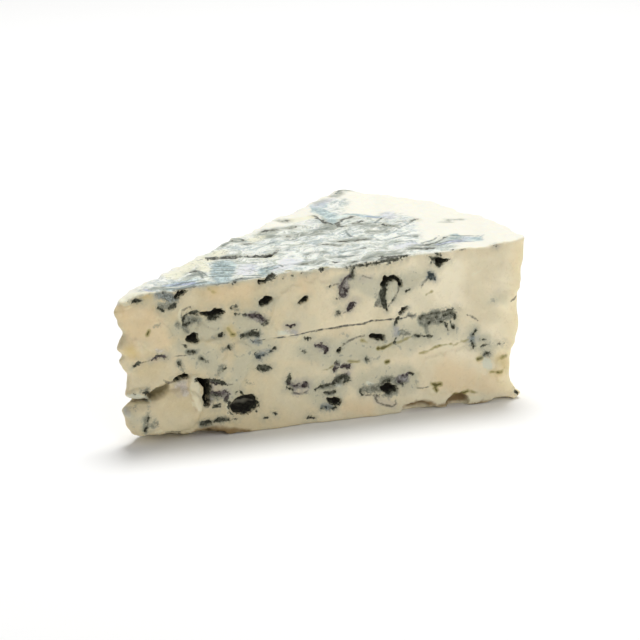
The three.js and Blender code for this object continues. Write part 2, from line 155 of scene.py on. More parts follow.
DARK = [
    [(31.2, 43.5, 0.2), (32, 43.7, 0.2)], [(46.2, 43.9, 0.25), (46.8, 44, 0.25)],
    [(52.2, 44.3, 0.25), (53, 44.3, 0.25)], [(49, 43.9, 0.2), (49.4, 43.9, 0.2)],
    [(57.6, 44.5, 0.2), (58.4, 44.5, 0.2)], [(1.3, 41.5, 0.25), (1.4, 41.6, 0.25)],
    [(2.3, 41, 0.35), (3.4, 41.4, 0.45), (5, 41.2, 0.3)], [(9.6, 38.8, 0.4), (11, 37.9, 0.5)],
    [(12.6, 38.2, 0.55), (13.5, 38.8, 0.75), (14.3, 39.6, 0.35)], [(11.2, 43, 0.3), (12.4, 43.4, 0.3)],
    [(16.7, 34.3, 0.3), (17.6, 35.6, 0.4), (19, 36.1, 0.5), (20.4, 36.3, 0.55), (21.7, 36, 0.4)],
    [(17.2, 33.3, 0.45), (18.2, 32.8, 0.6), (19, 33.4, 0.35)], [(19.6, 34.2, 0.3), (20.6, 33.6, 0.25)],
    [(24.4, 34, 0.5), (26, 33.9, 0.6), (27.6, 34.1, 0.35)], [(18.3, 30.7, 0.4), (19.4, 30.5, 0.35)],
    [(15.4, 18.8, 0.35), (16.8, 18.5, 0.6), (18.1, 18.3, 0.5)], [(15.6, 19.6, 0.15), (17, 19.2, 0.2)],
    [(30.3, 9.6, 0.3), (30.2, 6.6, 0.4), (31.3, 5.2, 0.3)],
    [(38.4, 9.8, 0.3), (38.6, 7.4, 0.35), (38, 5.8, 0.3)], [(4.8, 15, 0.45), (6, 14.9, 0.4)],
    [(2.2, 15.2, 0.3), (2.8, 14.8, 0.25)], [(5.9, 8.4, 0.3), (5.6, 7.4, 0.2)],
    [(5.2, 5.4, 0.3), (4.6, 4.2, 0.25)], [(26.1, 8.4, 0.35), (27, 8.6, 0.3)],
    [(22.2, 4, 0.4), (24, 4.2, 0.6), (25.7, 4, 0.4), (27.2, 4.6, 0.4), (28.6, 4.3, 0.3)],
    [(29.7, 4.1, 0.3), (31, 4.5, 0.35), (32.4, 4.4, 0.25)],
    [(32.2, 12, 0.35), (33.2, 12.5, 0.35), (33.8, 11.5, 0.25)], [(18.3, 25.3, 0.3), (20.2, 25.2, 0.25)],
    [(22, 22.9, 0.3), (23.5, 22, 0.4)], [(15.6, 22.4, 0.25), (16.2, 21, 0.25)],
    [(28.4, 19.6, 0.3), (27.2, 18.4, 0.3)], [(29.8, 25.4, 0.2), (30.4, 24.6, 0.2)],
    [(16.9, 27.6, 0.25), (17.3, 27, 0.25)], [(30.8, 36.3, 0.3), (32.6, 36.4, 0.25)],
    [(31.8, 34.8, 0.2), (33, 34.4, 0.3)],
    [(34.6, 34.2, 0.3), (36.4, 33.7, 0.45), (38.2, 33.6, 0.45), (39.6, 33, 0.4)],
    [(40, 32.6, 0.35), (41.3, 31.6, 0.75), (40.5, 30.7, 0.4)],
    [(33.8, 28.2, 0.3), (35.6, 28.4, 0.5), (37.2, 28.3, 0.75), (38.9, 28.2, 0.4)],
    [(37, 29.6, 0.3), (38.4, 29.5, 0.3)], [(36.6, 26.8, 0.3), (37.6, 26, 0.3)],
    [(38.4, 21, 0.35), (40.2, 21.5, 0.5), (42.2, 22.5, 0.45), (43.8, 23.6, 0.3)],
    [(38, 22.6, 0.3), (38.4, 21.6, 0.3)], [(39, 18.4, 0.55), (40.8, 18.1, 0.85), (42.9, 17.8, 0.5)],
    [(47.2, 29.9, 0.25), (48.3, 29.5, 0.5), (49.4, 29.8, 0.25)], [(50.6, 35.8, 0.25), (51.4, 36.3, 0.4)],
    [(53, 25.3, 0.35), (54.7, 25.3, 0.45)], [(52.6, 21.6, 0.5), (53, 21.4, 0.5)],
    [(55.9, 22.8, 0.4), (57.6, 22.7, 0.65), (58.9, 21.9, 0.65), (58.8, 20.9, 0.45)],
    [(63.5, 21.5, 0.4), (64.6, 22.6, 0.25)], [(49.4, 11.8, 0.4), (50.6, 12, 0.45)],
    [(51.7, 11.6, 0.4), (52.9, 12.2, 0.5), (53.4, 11.4, 0.3)],
    [(56, 10.2, 0.4), (57.4, 10.7, 0.5), (59.6, 10.8, 0.4), (61.4, 11, 0.4)],
    [(58.8, 8.9, 0.4), (60.6, 8.4, 0.5), (61.6, 8.9, 0.45)], [(57.9, 4, 0.3), (59, 4.4, 0.3)],
    [(61, 3.8, 0.3), (62.2, 4, 0.35)],
    [(66.7, 44.6, 0.45), (67.6, 44.2, 0.5), (67.2, 43, 0.35), (67.6, 41.8, 0.45), (65.5, 41.6, 0.35)],
    [(59.8, 39.9, 0.3), (61.5, 39.9, 0.15)], [(62.4, 35.8, 0.35), (63.8, 35.9, 0.45)],
    [(65.9, 32.5, 0.6), (67.1, 33.4, 0.75), (67.9, 34.2, 0.4)], [(62.9, 31.9, 0.5), (63.2, 31.4, 0.4)],
    [(65.4, 44.6, 0.3), (68.8, 44.7, 0.35), (72, 44.7, 0.4)],
    [(73.6, 44.8, 0.4), (76.2, 45, 0.6), (78.2, 45.2, 0.75), (80.6, 45.3, 0.45), (84, 45.7, 0.2)],
    [(77.2, 32.2, 0.35), (77.6, 31, 0.2)], [(79.3, 33.8, 0.2), (78.4, 32.6, 0.3)],
    [(76.7, 38, 0.9), (76.3, 36, 0.9), (77, 32.6, 0.6), (77.4, 31.6, 0.3)],
    [(81, 28.3, 0.3), (80.3, 27.3, 0.4), (80, 26.4, 0.3)], [(80.2, 22.5, 0.35), (80.1, 21.4, 0.5)],
    [(61.8, 15.6, 0.45), (64.2, 16, 0.4), (66.2, 15.7, 0.3)], [(62, 17.4, 0.4), (62.8, 16.6, 0.4)],
    [(62.8, 12.2, 0.7), (64.8, 13.2, 0.7), (65.8, 12, 0.7), (65, 11, 0.5)],
    [(61.6, 11.4, 0.5), (60.4, 10.6, 0.3)], [(71.2, 17.3, 0.3), (71.9, 16.8, 0.4)],
    [(69.4, 8.5, 0.3), (70, 7.1, 0.3)], [(75.4, 6.2, 0.3), (77.2, 7, 0.5)],
    [(82.4, 8.6, 0.5), (81.6, 9.4, 0.5)], [(76.6, 9.6, 0.3), (78.6, 10.2, 0.5)],
    [(95.7, 25.1, 0.6), (96.4, 23.1, 0.5)], [(97.4, 25, 0.5), (98.1, 23.6, 0.4)],
    [(86.4, 22.4, 0.35), (88.6, 22.2, 0.5), (90.4, 22, 0.5), (91.2, 21.9, 0.3)],
    [(90.4, 45.2, 0.2), (92.2, 44.4, 0.5), (93.2, 44, 0.6)], [(92.4, 45.9, 0.4), (93.8, 45.5, 0.5)],
    [(91.2, 43.2, 0.3), (92.8, 42.6, 0.35), (93.8, 42.5, 0.6)],
    [(90.2, 40.6, 0.3), (91.4, 39.3, 0.75), (92.4, 38.6, 0.45)], [(104.3, 20.4, 0.45), (105, 21.6, 0.35)],
    [(103.9, 19, 0.4), (104.5, 17.4, 0.4)], [(107.4, 17.2, 0.25), (109.7, 17.2, 0.28)],
    [(106.6, 19.4, 0.25), (108.4, 18.9, 0.2)], [(118, 2.2, 0.4), (119, 1.6, 0.4)],
    [(83.4, 36, 0.35), (84.4, 36.2, 0.3)], [(43.2, 4.7, 0.35), (43.8, 4.4, 0.3)],
    [(40.4, 3.6, 0.25), (41.6, 3.8, 0.25)], [(2.4, 22.8, 0.5), (3.7, 23.5, 0.5)],
    [(64.9, 41.3, 0.5), (64.3, 39.8, 0.4), (63.8, 38.4, 0.4), (63.4, 37, 0.4), (64.6, 36.5, 0.6)],
    [(64.8, 38.6, 0.3), (65.4, 37.4, 0.5), (66, 38.6, 0.3)], [(54.2, 2, 0.55), (55.8, 1.6, 0.55)],
    [(97.6, 28, 0.6), (98.8, 27.4, 0.6), (98.6, 26.2, 0.4)],
    [(48.4, 15.5, 0.2), (48, 13.8, 0.4), (48.2, 12.4, 0.35), (47.2, 11.4, 0.4), (49, 11, 0.3)],
    [(25.2, 12.6, 0.8), (26.8, 12.2, 1), (28.6, 12.2, 0.8)], [(29.6, 12.2, 0.5), (29.4, 10.4, 0.7)],
    [(25.6, 8.6, 0.5), (27, 8.7, 0.6)],
    [(20.3, 17.3, 0.4), (24.4, 16.2, 0.75), (27, 15.8, 0.6), (29.4, 15.1, 0.35)],
    [(7.7, 23.9, 0.4), (9.4, 25.1, 0.8), (10.6, 25, 0.7), (12, 24.3, 0.4)],
    [(82.6, 11.2, 0.4), (84.4, 11.6, 0.6), (85.7, 11.4, 0.4)], [(27.4, 28.6, 0.2), (28.4, 29, 0.3)],
    [(112.3, 17.5, 0.3), (113.8, 17.2, 0.28)], [(108.2, 14.4, 0.15), (110, 14.8, 0.2)],
    [(110.8, 46.5, 0.25), (111.3, 46.3, 0.25)],
    [(88.2, 27.2, 0.2), (89.8, 28.1, 0.2), (94, 28.4, 0.15), (98.4, 28.8, 0.4), (99.6, 29, 0.2)],
    [(90.4, 25.6, 0.2), (91.4, 26, 0.35)], [(94, 25.8, 0.25), (95.4, 25.6, 0.35)],
    [(118.2, 2.6, 0.4), (118.8, 2, 0.4)], [(90.4, 27, 0.3), (93, 27.2, 0.35)],
    [(95.4, 27.4, 0.4), (97, 27.6, 0.4)],
]
GREY = [
    [(1.5, 41.6, 0.6), (4.8, 41.3, 0.6)], [(9.8, 42.6, 1), (12.2, 41.8, 1.9), (13.8, 41.2, 1.5)],
    [(10.4, 39.3, 1.1), (12.6, 39, 1.5)], [(18.2, 34.2, 1.6), (21, 33.8, 1)],
    [(24.4, 34, 0.9), (27.6, 34.3, 0.9)], [(17.2, 32.6, 1), (18.4, 31, 0.9)],
    [(15, 33.8, 0.7), (15.4, 33.4, 0.7)], [(8.5, 33.8, 0.4), (9.4, 34.2, 0.3)],
    [(4.9, 8.3, 0.6), (4.8, 5, 0.6)], [(6.5, 6.3, 0.5), (7, 5.6, 0.5)],
    [(35.6, 33.9, 0.8), (38, 33.3, 1.1), (40.8, 31.8, 1.2)], [(35.4, 28.5, 1.2), (38.4, 28.2, 1.1)],
    [(38.8, 21.7, 0.9), (42.6, 22.7, 0.8)], [(40, 18.2, 0.9), (42, 18, 0.9)],
    [(48, 13, 0.9), (49.7, 11.5, 1), (53, 11.8, 0.9)],
    [(49.2, 9.9, 0.3), (51.2, 9.4, 0.35), (53.6, 10.1, 0.3)], [(57.2, 10.4, 0.7), (61, 10.4, 1)],
    [(59.6, 8.6, 0.9), (60.8, 8.6, 0.9)], [(58.2, 4.4, 0.9), (61.8, 4, 0.8)],
    [(74.6, 33.2, 1), (75.8, 34, 1.3), (76.6, 37.4, 0.9)], [(76.2, 45.2, 0.9), (80.2, 45.4, 0.6)],
    [(62.5, 17.1, 0.9), (62.1, 15.4, 0.7)], [(63.4, 12.4, 1.6), (65, 12.4, 1.7)],
    [(70.6, 8.4, 1.1), (73.2, 7.9, 1.3), (76.2, 8.4, 1.6)], [(77.2, 6.2, 1.1), (80.2, 6.6, 1.1)],
    [(81, 9.8, 1.6), (83, 10.4, 1.7)], [(76.6, 10.4, 0.9), (79.4, 10.6, 1)],
    [(89.8, 24.9, 1), (89.9, 22.9, 0.6)], [(85.6, 22.5, 0.5), (89, 22.2, 0.6)],
    [(82, 23.9, 1), (84.6, 23.3, 0.8)], [(92.6, 44.2, 1.4), (93.8, 43.2, 1.3)],
    [(91, 39.8, 1.1), (91.8, 39, 1)], [(104.2, 20.6, 1), (104.2, 18, 0.9)],
    [(108.2, 14.5, 0.7), (109.6, 14.6, 0.7)], [(71.4, 17.1, 0.8), (71.8, 16.9, 0.8)],
    [(62.8, 31.8, 0.8), (63.2, 31.6, 0.8)], [(66, 32.8, 0.8), (67.6, 33.8, 0.8)],
    [(88, 37, 0.4), (88.9, 38.1, 0.4)], [(38, 26.2, 0.8), (39.2, 25.6, 0.6)],
    [(31, 36.3, 0.5), (33.2, 35.4, 0.5)], [(35.2, 14.4, 0.4), (36.7, 14.2, 0.3)],
    [(56.2, 22.7, 0.7), (58.8, 22, 0.9)], [(81.6, 29.9, 0.7), (83.4, 31.2, 0.7)],
    [(18, 25.4, 0.8), (20.6, 25.2, 0.6)], [(21.6, 23.1, 0.7), (23.6, 22, 0.7)],
    [(15.4, 22.8, 0.6), (16.4, 20.6, 0.6)], [(28.6, 25, 0.5), (30.6, 25.4, 0.5)],
    [(27.8, 20, 0.7), (26.8, 18.3, 0.7)], [(24.4, 15, 0.9), (24.4, 11, 1.2)],
    [(25.6, 12.2, 1.5), (29, 11.8, 1.3)], [(6.2, 15.7, 0.5), (4.4, 15.6, 0.4)],
    [(88.9, 26.9, 1.8), (91.4, 27.2, 2.2), (94.6, 27.3, 2.1), (97.6, 27.6, 1.8)],
    [(66.6, 44.4, 1.1), (67.2, 42.2, 1), (65, 40.8, 1.2), (64.7, 38.4, 1.7), (64.5, 36.9, 1.3)],
    [(22, 4, 0.9), (26.2, 4.4, 0.9), (29.8, 4.4, 0.7)], [(5.6, 10.4, 0.5), (5.4, 6.6, 0.5), (5, 4.2, 0.7)],
    [(7.4, 7, 0.5), (8.2, 6, 0.5)], [(15.5, 43.6, 0.3), (19, 43.9, 0.45), (22, 44, 0.4), (25.5, 44.2, 0.2)],
    [(84, 28.9, 0.5), (86, 28.5, 0.4)], [(1.4, 11.3, 0.4), (2.2, 11.2, 0.4)],
]
LINES = [
    [(16.1, 35.4, 0.05), (16.3, 37.4, 0.08), (18.9, 38.1, 0.1), (19.4, 37.3, 0.05)],
    [(11, 17.9, 0.15), (12.3, 17, 0.2), (13.8, 17.3, 0.2), (15.4, 18.4, 0.3)],
    [(61.5, 39.9, 0.15), (64, 40.1, 0.15)], [(70.1, 41.7, 0.12), (71.8, 40.9, 0.2), (73.2, 40.6, 0.2)],
    [(71.2, 6.6, 0.15), (73.6, 6.3, 0.2), (75.4, 6.2, 0.25)],
    [(74.3, 5.6, 0.15), (74.8, 4.2, 0.2), (76.7, 3.2, 0.2), (79.4, 2.5, 0.22), (80.5, 3.1, 0.2),
     (80.2, 4.3, 0.15)],
    [(81.2, 37.6, 0.3), (80.9, 36.2, 0.2), (79.9, 34.6, 0.25), (78.7, 33, 0.3), (77.8, 31.8, 0.2)],
    [(74.5, 34.4, 0.15), (74, 33, 0.2), (74.9, 32.2, 0.2), (76.4, 32.1, 0.15)],
    [(82.2, 28.2, 0.1), (84, 28.6, 0.15), (86, 28.5, 0.1)],
    [(49.4, 9.9, 0.1), (51.2, 9.4, 0.15), (53.6, 10.1, 0.1)], [(58.9, 15.7, 0.1), (61, 16.4, 0.15)],
    [(83.6, 36.1, 0.2), (84.6, 36.3, 0.15)], [(88, 36.6, 0.2), (89.2, 38.2, 0.15), (91, 40, 0.1)],
    [(64, 31.2, 0.1), (66, 32.4, 0.1)],
    [(21.2, 17.2, 0.2), (24, 16.4, 0.2), (28, 14.9, 0.15), (31.4, 14.6, 0.08)],
    [(0.5, 4.6, 0.2), (3, 3.4, 0.1)], [(3.7, 23.4, 0.1), (6.8, 23.8, 0.12), (8.4, 24.8, 0.2)],
    [(64, 22.2, 0.3), (66, 23.2, 0.35), (68.2, 23.9, 0.25), (70.8, 24.2, 0.2)],
    # painted shade: the dark line along the lump's underside
    [(11, 3.4, 0.15), (13.2, 3.3, 0.3), (15.8, 2.4, 0.25)],
    [(102.6, 26.8, 0.12), (104, 26.2, 0.25), (105.8, 24.9, 0.12)],
    [(115.8, 29.8, 0.2), (116.8, 30.4, 0.25), (117.8, 31.6, 0.2)],
    [(87.4, 6.9, 0.1), (88.8, 6.7, 0.14), (90.6, 7.1, 0.06)], [(99.8, 46.2, 0.1), (101.6, 46.4, 0.12)],
    [(53.2, 43.6, 0.1), (53.3, 42.6, 0.1)], [(14, 24.4, 0.05), (20, 24.6, 0.08)],
]
NEEDLE = [
    [(36, 26.2, 0.12), (44, 26.4, 0.16), (49, 26.8, 0.14), (54, 27.2, 0.2), (57.6, 27.2, 0.3),
     (62, 27.5, 0.2)],
    [(62, 27.5, 0.2), (65, 27.7, 0.28), (71, 27.8, 0.26), (73, 28.3, 0.18), (79, 28.2, 0.2),
     (82, 28.2, 0.22)],
]
OLIVE = [
    [(24.6, 42.6, 0.2), (25.8, 41.4, 0.3)], [(57.2, 15.8, 0.2), (59.2, 15.7, 0.25), (60.7, 16.4, 0.25)],
    [(66, 17.3, 0.15), (69.2, 16.7, 0.15)], [(70, 23, 0.4), (71.6, 22.2, 0.4)],
    [(74.6, 20, 0.4), (76.4, 19.9, 0.45), (78.2, 20.5, 0.45), (79.4, 21.2, 0.4), (83, 21.6, 0.35),
     (85, 22.2, 0.25)], [(77.6, 15.7, 0.5), (78.4, 15.7, 0.4)], [(89.8, 34.2, 0.35), (91.2, 34.8, 0.25)],
    [(106.2, 13.4, 0.45), (107.4, 13.6, 0.4)], [(110.2, 9.2, 0.3), (112.8, 9, 0.3), (113.8, 10.4, 0.2)],
    [(6.2, 31.8, 0.5), (6.6, 32.5, 0.5)],
    [(87.6, 17.2, 0.12), (90.2, 17.8, 0.15), (92.2, 18.5, 0.18), (94.2, 18.8, 0.15), (97.6, 18.9, 0.2)],
    [(98.4, 18.3, 0.15), (99.8, 18.9, 0.15), (102, 19.4, 0.2), (104, 19.9, 0.15)],
    [(2.2, 22.6, 0.3), (3.8, 23.6, 0.3)], [(29.8, 30.8, 0.15), (30.6, 29.6, 0.15)],
    [(31, 29, 0.35), (31.8, 28.8, 0.5)],
    [(98.4, 3.7, 0.2), (100.6, 3.9, 0.3), (103.2, 4.1, 0.55), (106, 3.4, 0.4)],
    [(91.2, 8.2, 0.5), (92.5, 7.4, 1), (93.9, 7.4, 0.7)], [(92.4, 6.6, 0.8), (92.9, 5.6, 0.7)],
    [(113, 13, 0.2), (114.4, 13.8, 0.2)],
]
BLUE = [
    [(37, 26.4, 0.9), (39, 25.6, 0.7)], [(39, 21.6, 1.1), (41.4, 22.5, 1.1)],
    [(9.6, 42.6, 1.1), (13, 41.6, 1.6)], [(80.2, 25.6, 0.6), (80.2, 23.6, 0.9)],
    [(49.4, 27.8, 0.8), (49.8, 27.2, 0.7)], [(103.6, 19.8, 1), (105.6, 19.6, 1)],
    [(12, 43.6, 0.6), (18, 44.2, 0.7), (24, 44.3, 0.6), (34, 44.3, 0.4)],
    [(58.4, 5, 0.7), (60.4, 4.4, 0.7)], [(82, 10.4, 1), (83.6, 10.8, 0.9)],
    [(0.2, 11, 0.9), (-0.6, 7.4, 1.2), (0.8, 3.8, 0.9)], [(90.6, 40.4, 1), (92, 38.8, 1)],
    [(15.5, 43.8, 0.6), (25.5, 44.3, 0.6)],
]
HAZE = [
    [(14, 32, 2), (19, 32, 3), (27, 31, 4)], [(16, 26, 3), (24, 23, 4), (28, 18, 2)],
    [(36, 31, 4), (40, 24, 5)], [(49, 12, 3.5), (61, 9, 4)], [(71, 11, 4), (84, 9, 4)],
    [(104, 21, 3), (109, 16, 2.5)], [(1, 9, 2.5), (6, 6, 2)], [(30, 12, 3), (34, 20, 3)],
    [(109, 30, 1), (113, 31, 1)], [(65, 41, 2), (78, 37, 4), (90, 40, 2)],
    [(52, 22, 3.6), (64, 19, 5), (77, 22, 5), (90, 24, 4), (98, 24, 3)], [(40, 36.6, 1.6), (44, 37.4, 1.2)],
]
# Painted shade: brown laid in the chips and undercuts along the near face's lower edge, where shade falls
CHIP_SHADE = [
    [(20.6, 2, 0.6), (26, 1.7, 1.3), (31, 0.9, 0.7), (36, 0.5, 0.3)], [(104, 0.4, 0.3), (110, 0.5, 0.3)],
    [(85.4, 1.8, 0.6), (87.4, 2.3, 0.9), (91, 2, 0.7), (92.6, 1.2, 0.4)], [(94, 0.8, 0.3), (97.6, 1, 0.4)],
    [(98.6, 2.2, 1.3), (100.6, 2.4, 1.5), (101.8, 2, 1.2)],
]
WARM = [
    [(2, 38, 4), (6, 36, 4.5), (10, 29, 4)], [(1.5, 27.4, 3.2), (3.5, 26, 2.6)],
    [(26, 40.6, 2.2), (35, 41.4, 2.2)], [(20.5, 6.4, 1.2), (21, 8, 1)], [(66, 4, 3), (72, 2.4, 3)],
    [(119, 43, 3), (119, 34, 2), (119, 24, 2.4)], [(96, 10, 5), (103, 7, 5)], [(108, 6, 4), (114, 7, 4)],
    [(3, 34, 4), (2, 26, 3)], [(51.4, 42, 1.6), (52.6, 38.4, 1.6)], [(61.6, 25, 1.2), (65.6, 25.2, 1)],
    [(45.6, 19, 1), (56, 18, 1.2)], [(110, 4, 3), (115, 5, 3)],
]
LILAC = [
    [(46.4, 28, 0.6), (49.4, 27.8, 0.8)], [(80.4, 25.6, 0.7), (80.2, 23.4, 0.8)],
    [(9, 26.6, 0.4), (10.4, 26.4, 0.4)], [(14.6, 15.8, 0.5), (16.2, 15.9, 1.4), (16.9, 14, 0.9)],
]
# Pale curd, partly painted highlights: the thin strokes along flake edges, hole rims and the chips' upper
# edges stand for light caught there
PALE_AND_HIGHLIGHTS = [
    [(0.4, 9, 0.8), (-0.2, 5, 0.8)], [(45.4, 28, 0.7), (49.4, 27.4, 0.8)],
    [(8.6, 3.6, 0.5), (9.4, 3.8, 0.4)],
    [(19.6, 17.6, 1), (19.8, 14.6, 1.7), (20.4, 11.4, 1.6), (21, 9, 0.9)],
    [(103.6, 1.6, 0.9), (106, 1.6, 0.8)], [(87.6, 3.5, 0.25), (89.6, 4, 0.2), (91.6, 3.2, 0.25)],
    [(93.6, 1.9, 0.3), (96.4, 2, 0.3)], [(15.8, 37.4, 0.25), (15.8, 34.6, 0.25)],
    [(29.9, 9.4, 0.25), (29.5, 7.6, 0.3), (30, 6, 0.25)],
    [(94.4, 18.6, 0.3), (96.4, 18.5, 0.5), (98, 17.6, 0.3)], [(103.8, 38.6, 0.4), (106, 39.4, 0.6)],
]
CHALK = [
    [(0.4, 14, 1), (3.2, 13.9, 1.2), (6.2, 13, 0.6)], [(-0.6, 10.4, 0.7), (-1, 7, 1), (0.4, 4.4, 0.8)],
    [(108.2, 13.4, 0.6), (108.9, 11.8, 1.3), (109.8, 10.4, 0.8)], [(44.8, 28, 0.7), (47, 27.6, 0.5)],
    [(72, 10, 0.5), (73.4, 9.4, 0.4)], [(63.2, 10.6, 0.4), (62, 10.8, 0.2)],
]
PLUM = [
    [(64.8, 41.4, 1.6), (64.6, 37, 2)], [(66, 32.6, 1.4), (67.8, 34.4, 1.4)],
    [(47, 29.6, 1), (50, 29.4, 1), (49.6, 27.6, 1.2)], [(50, 12.4, 1.4), (53.4, 12, 1.6), (50.6, 9.8, 1)],
    [(56.4, 22.8, 1.2), (59, 21.6, 1.2)], [(7.4, 24, 1), (12, 24.6, 1)], [(15.4, 15.4, 2), (17, 17.4, 1)],
    [(23.6, 9.8, 1), (24, 15, 1.2), (29.6, 11.6, 1.2)], [(82, 10.6, 1.4), (83.6, 11, 1.2)],
    [(70, 40.8, 0.8), (72.6, 41, 0.8)], [(62.4, 16, 1.2), (66, 14.6, 1.4)], [(74.8, 4.6, 1), (80, 2.8, 1)],
    [(110.4, 46.6, 1), (111.6, 46.4, 1)], [(36, 33.8, 0.8), (40.6, 32.2, 1)],
]
OCHRE = [
    [(30.2, 30.4, 0.7), (31.6, 29.2, 0.9)], [(112.6, 13, 0.8), (114.4, 10.4, 1)],
    [(106.6, 13.2, 0.4), (108, 13.8, 0.2)], [(110.4, 9.2, 0.2), (113, 9, 0.4)],
    [(25.4, 42.6, 0.4), (26, 41.6, 0.4)], [(1.4, 41, 0.6), (7, 42.6, 0.5)],
    [(1, 27.8, 1.2), (2.6, 26.4, 0.8)],
]
# A grey band inside the big hole, with a painted glint along it
HOLE_BAND_AND_GLINT = [[(31.2, 8.3, 0.3), (34, 8.1, 0.5), (37.6, 8.5, 0.4)]]

# On the top, a stroke's points are (x, y, half width)
TOP_CREASES = [
    [(39, 11, 0.5), (41, 10.3, 0.7), (43, 8.4, 1), (44.5, 6, 0.8), (47.5, 6, 0.5)],
    [(47.5, 6, 0.5), (50, 6, 0.6), (52, 3.8, 0.8), (54.3, 1.2, 1.1), (55.5, 1.6, 0.7)],
    [(90, 20.5, 0.5), (88.3, 18, 0.7), (86.5, 14.5, 0.6)],
    [(98.3, 3, 0.5), (98, 0, 0.5), (97.8, -3.6, 0.4)], [(103.5, -1.5, 0.5), (106, -1.3, 0.4)],
]
TOP_DARK = [
    [(13, -1.6, 0.5), (13.6, -1.7, 0.4)], [(31, -10.9, 0.3), (33, -11.5, 0.3)],
    [(26.6, 3.1, 0.4), (28, 2.5, 0.4)], [(53.8, 19, 0.4), (55, 18.9, 0.4)],
    [(57, 17, 0.4), (58, 17.6, 0.3)], [(55.6, 14.2, 0.4), (57.4, 13.6, 0.4)],
    [(68.6, 21.2, 0.4), (70.5, 20.2, 0.6), (72.4, 19.4, 0.4)], [(79.4, 25.4, 0.4), (81.2, 25.1, 0.5)],
    [(76.4, 19, 0.4), (78.6, 18.6, 0.5)], [(70.6, 13.3, 0.4), (72.2, 13, 0.4)],
    [(75.6, -0.8, 0.3), (78, -2, 0.4), (80.4, -2.8, 0.4)],
    [(70.4, -2.6, 0.4), (72.2, -3.8, 0.5), (74.4, -5.4, 0.4)],
    [(81, -5, 0.3), (82.8, -5.6, 0.4), (84.6, -6, 0.3)], [(74, -13, 0.4), (76.4, -13.8, 0.5)],
    [(54.5, -12.3, 0.4), (55.8, -12.6, 0.4)], [(61.6, -17.5, 0.5), (63.6, -18, 0.4)],
    [(66, -20.4, 0.4), (67, -20.6, 0.3)], [(61.2, -22.4, 0.4), (63, -22.6, 0.5), (64.5, -23.4, 0.5)],
    [(64.5, -23.6, 0.4), (68, -24.6, 0.6), (71, -25.6, 0.8)],
    [(72, -25.4, 0.9), (74, -24.4, 0.8), (75, -25.6, 1.1), (78, -27, 0.8), (80.4, -28.3, 0.5)],
    [(73.6, -22.6, 0.4), (74.4, -23.4, 0.5)],
    [(84.4, -24, 0.4), (87, -25.1, 0.7), (90.8, -26.8, 0.6), (92.6, -27.8, 0.3)],
    [(89, -22.5, 0.2), (92, -22.3, 0.35), (96, -22.2, 0.5), (100.4, -21.4, 0.4)],
    [(92.2, -32.6, 0.4), (93, -32.8, 0.4)], [(101.8, -24, 0.4), (102.6, -24.4, 0.3)],
    [(86.4, 8.8, 0.4), (88.6, 7.9, 0.4)], [(92, 8, 0.4), (94, 8.1, 0.6), (96.4, 8.4, 0.3)],
    [(98.3, 3, 0.4), (98, 0, 0.5), (97.9, -3.4, 0.4)], [(102.2, 7.6, 0.3), (102.9, 8.1, 0.4)],
    [(102, -1, 0.3), (103.6, -1.5, 0.5), (106, -1.3, 0.4), (108.8, -1.2, 0.3)],
    [(87, 9.8, 0.5), (90, 12.6, 0.7), (93.4, 13.6, 0.7), (97.2, 13.8, 0.5)],
    [(2.4, -2.4, 0.4), (4, -3, 0.4)],
    [(39.8, 12, 0.7), (41.6, 10.8, 1.1), (43.2, 8.6, 1.3), (44.6, 6.8, 1.2), (47.8, 5.8, 0.8)],
    [(47.8, 5.8, 0.8), (50.4, 4.8, 0.8), (52.4, 3.4, 1.1), (53.8, 2, 1.6), (55.4, 1.2, 1.1),
     (58.4, 2.9, 0.3)], [(89.4, 22.4, 0.4), (88, 18.6, 0.8), (87.2, 15, 0.8), (87, 12, 0.4)],
]
TOP_HOLES = [[(52.4, 2.9, 0.4), (53.8, 1.9, 0.9), (55.2, 1.3, 0.5)]]
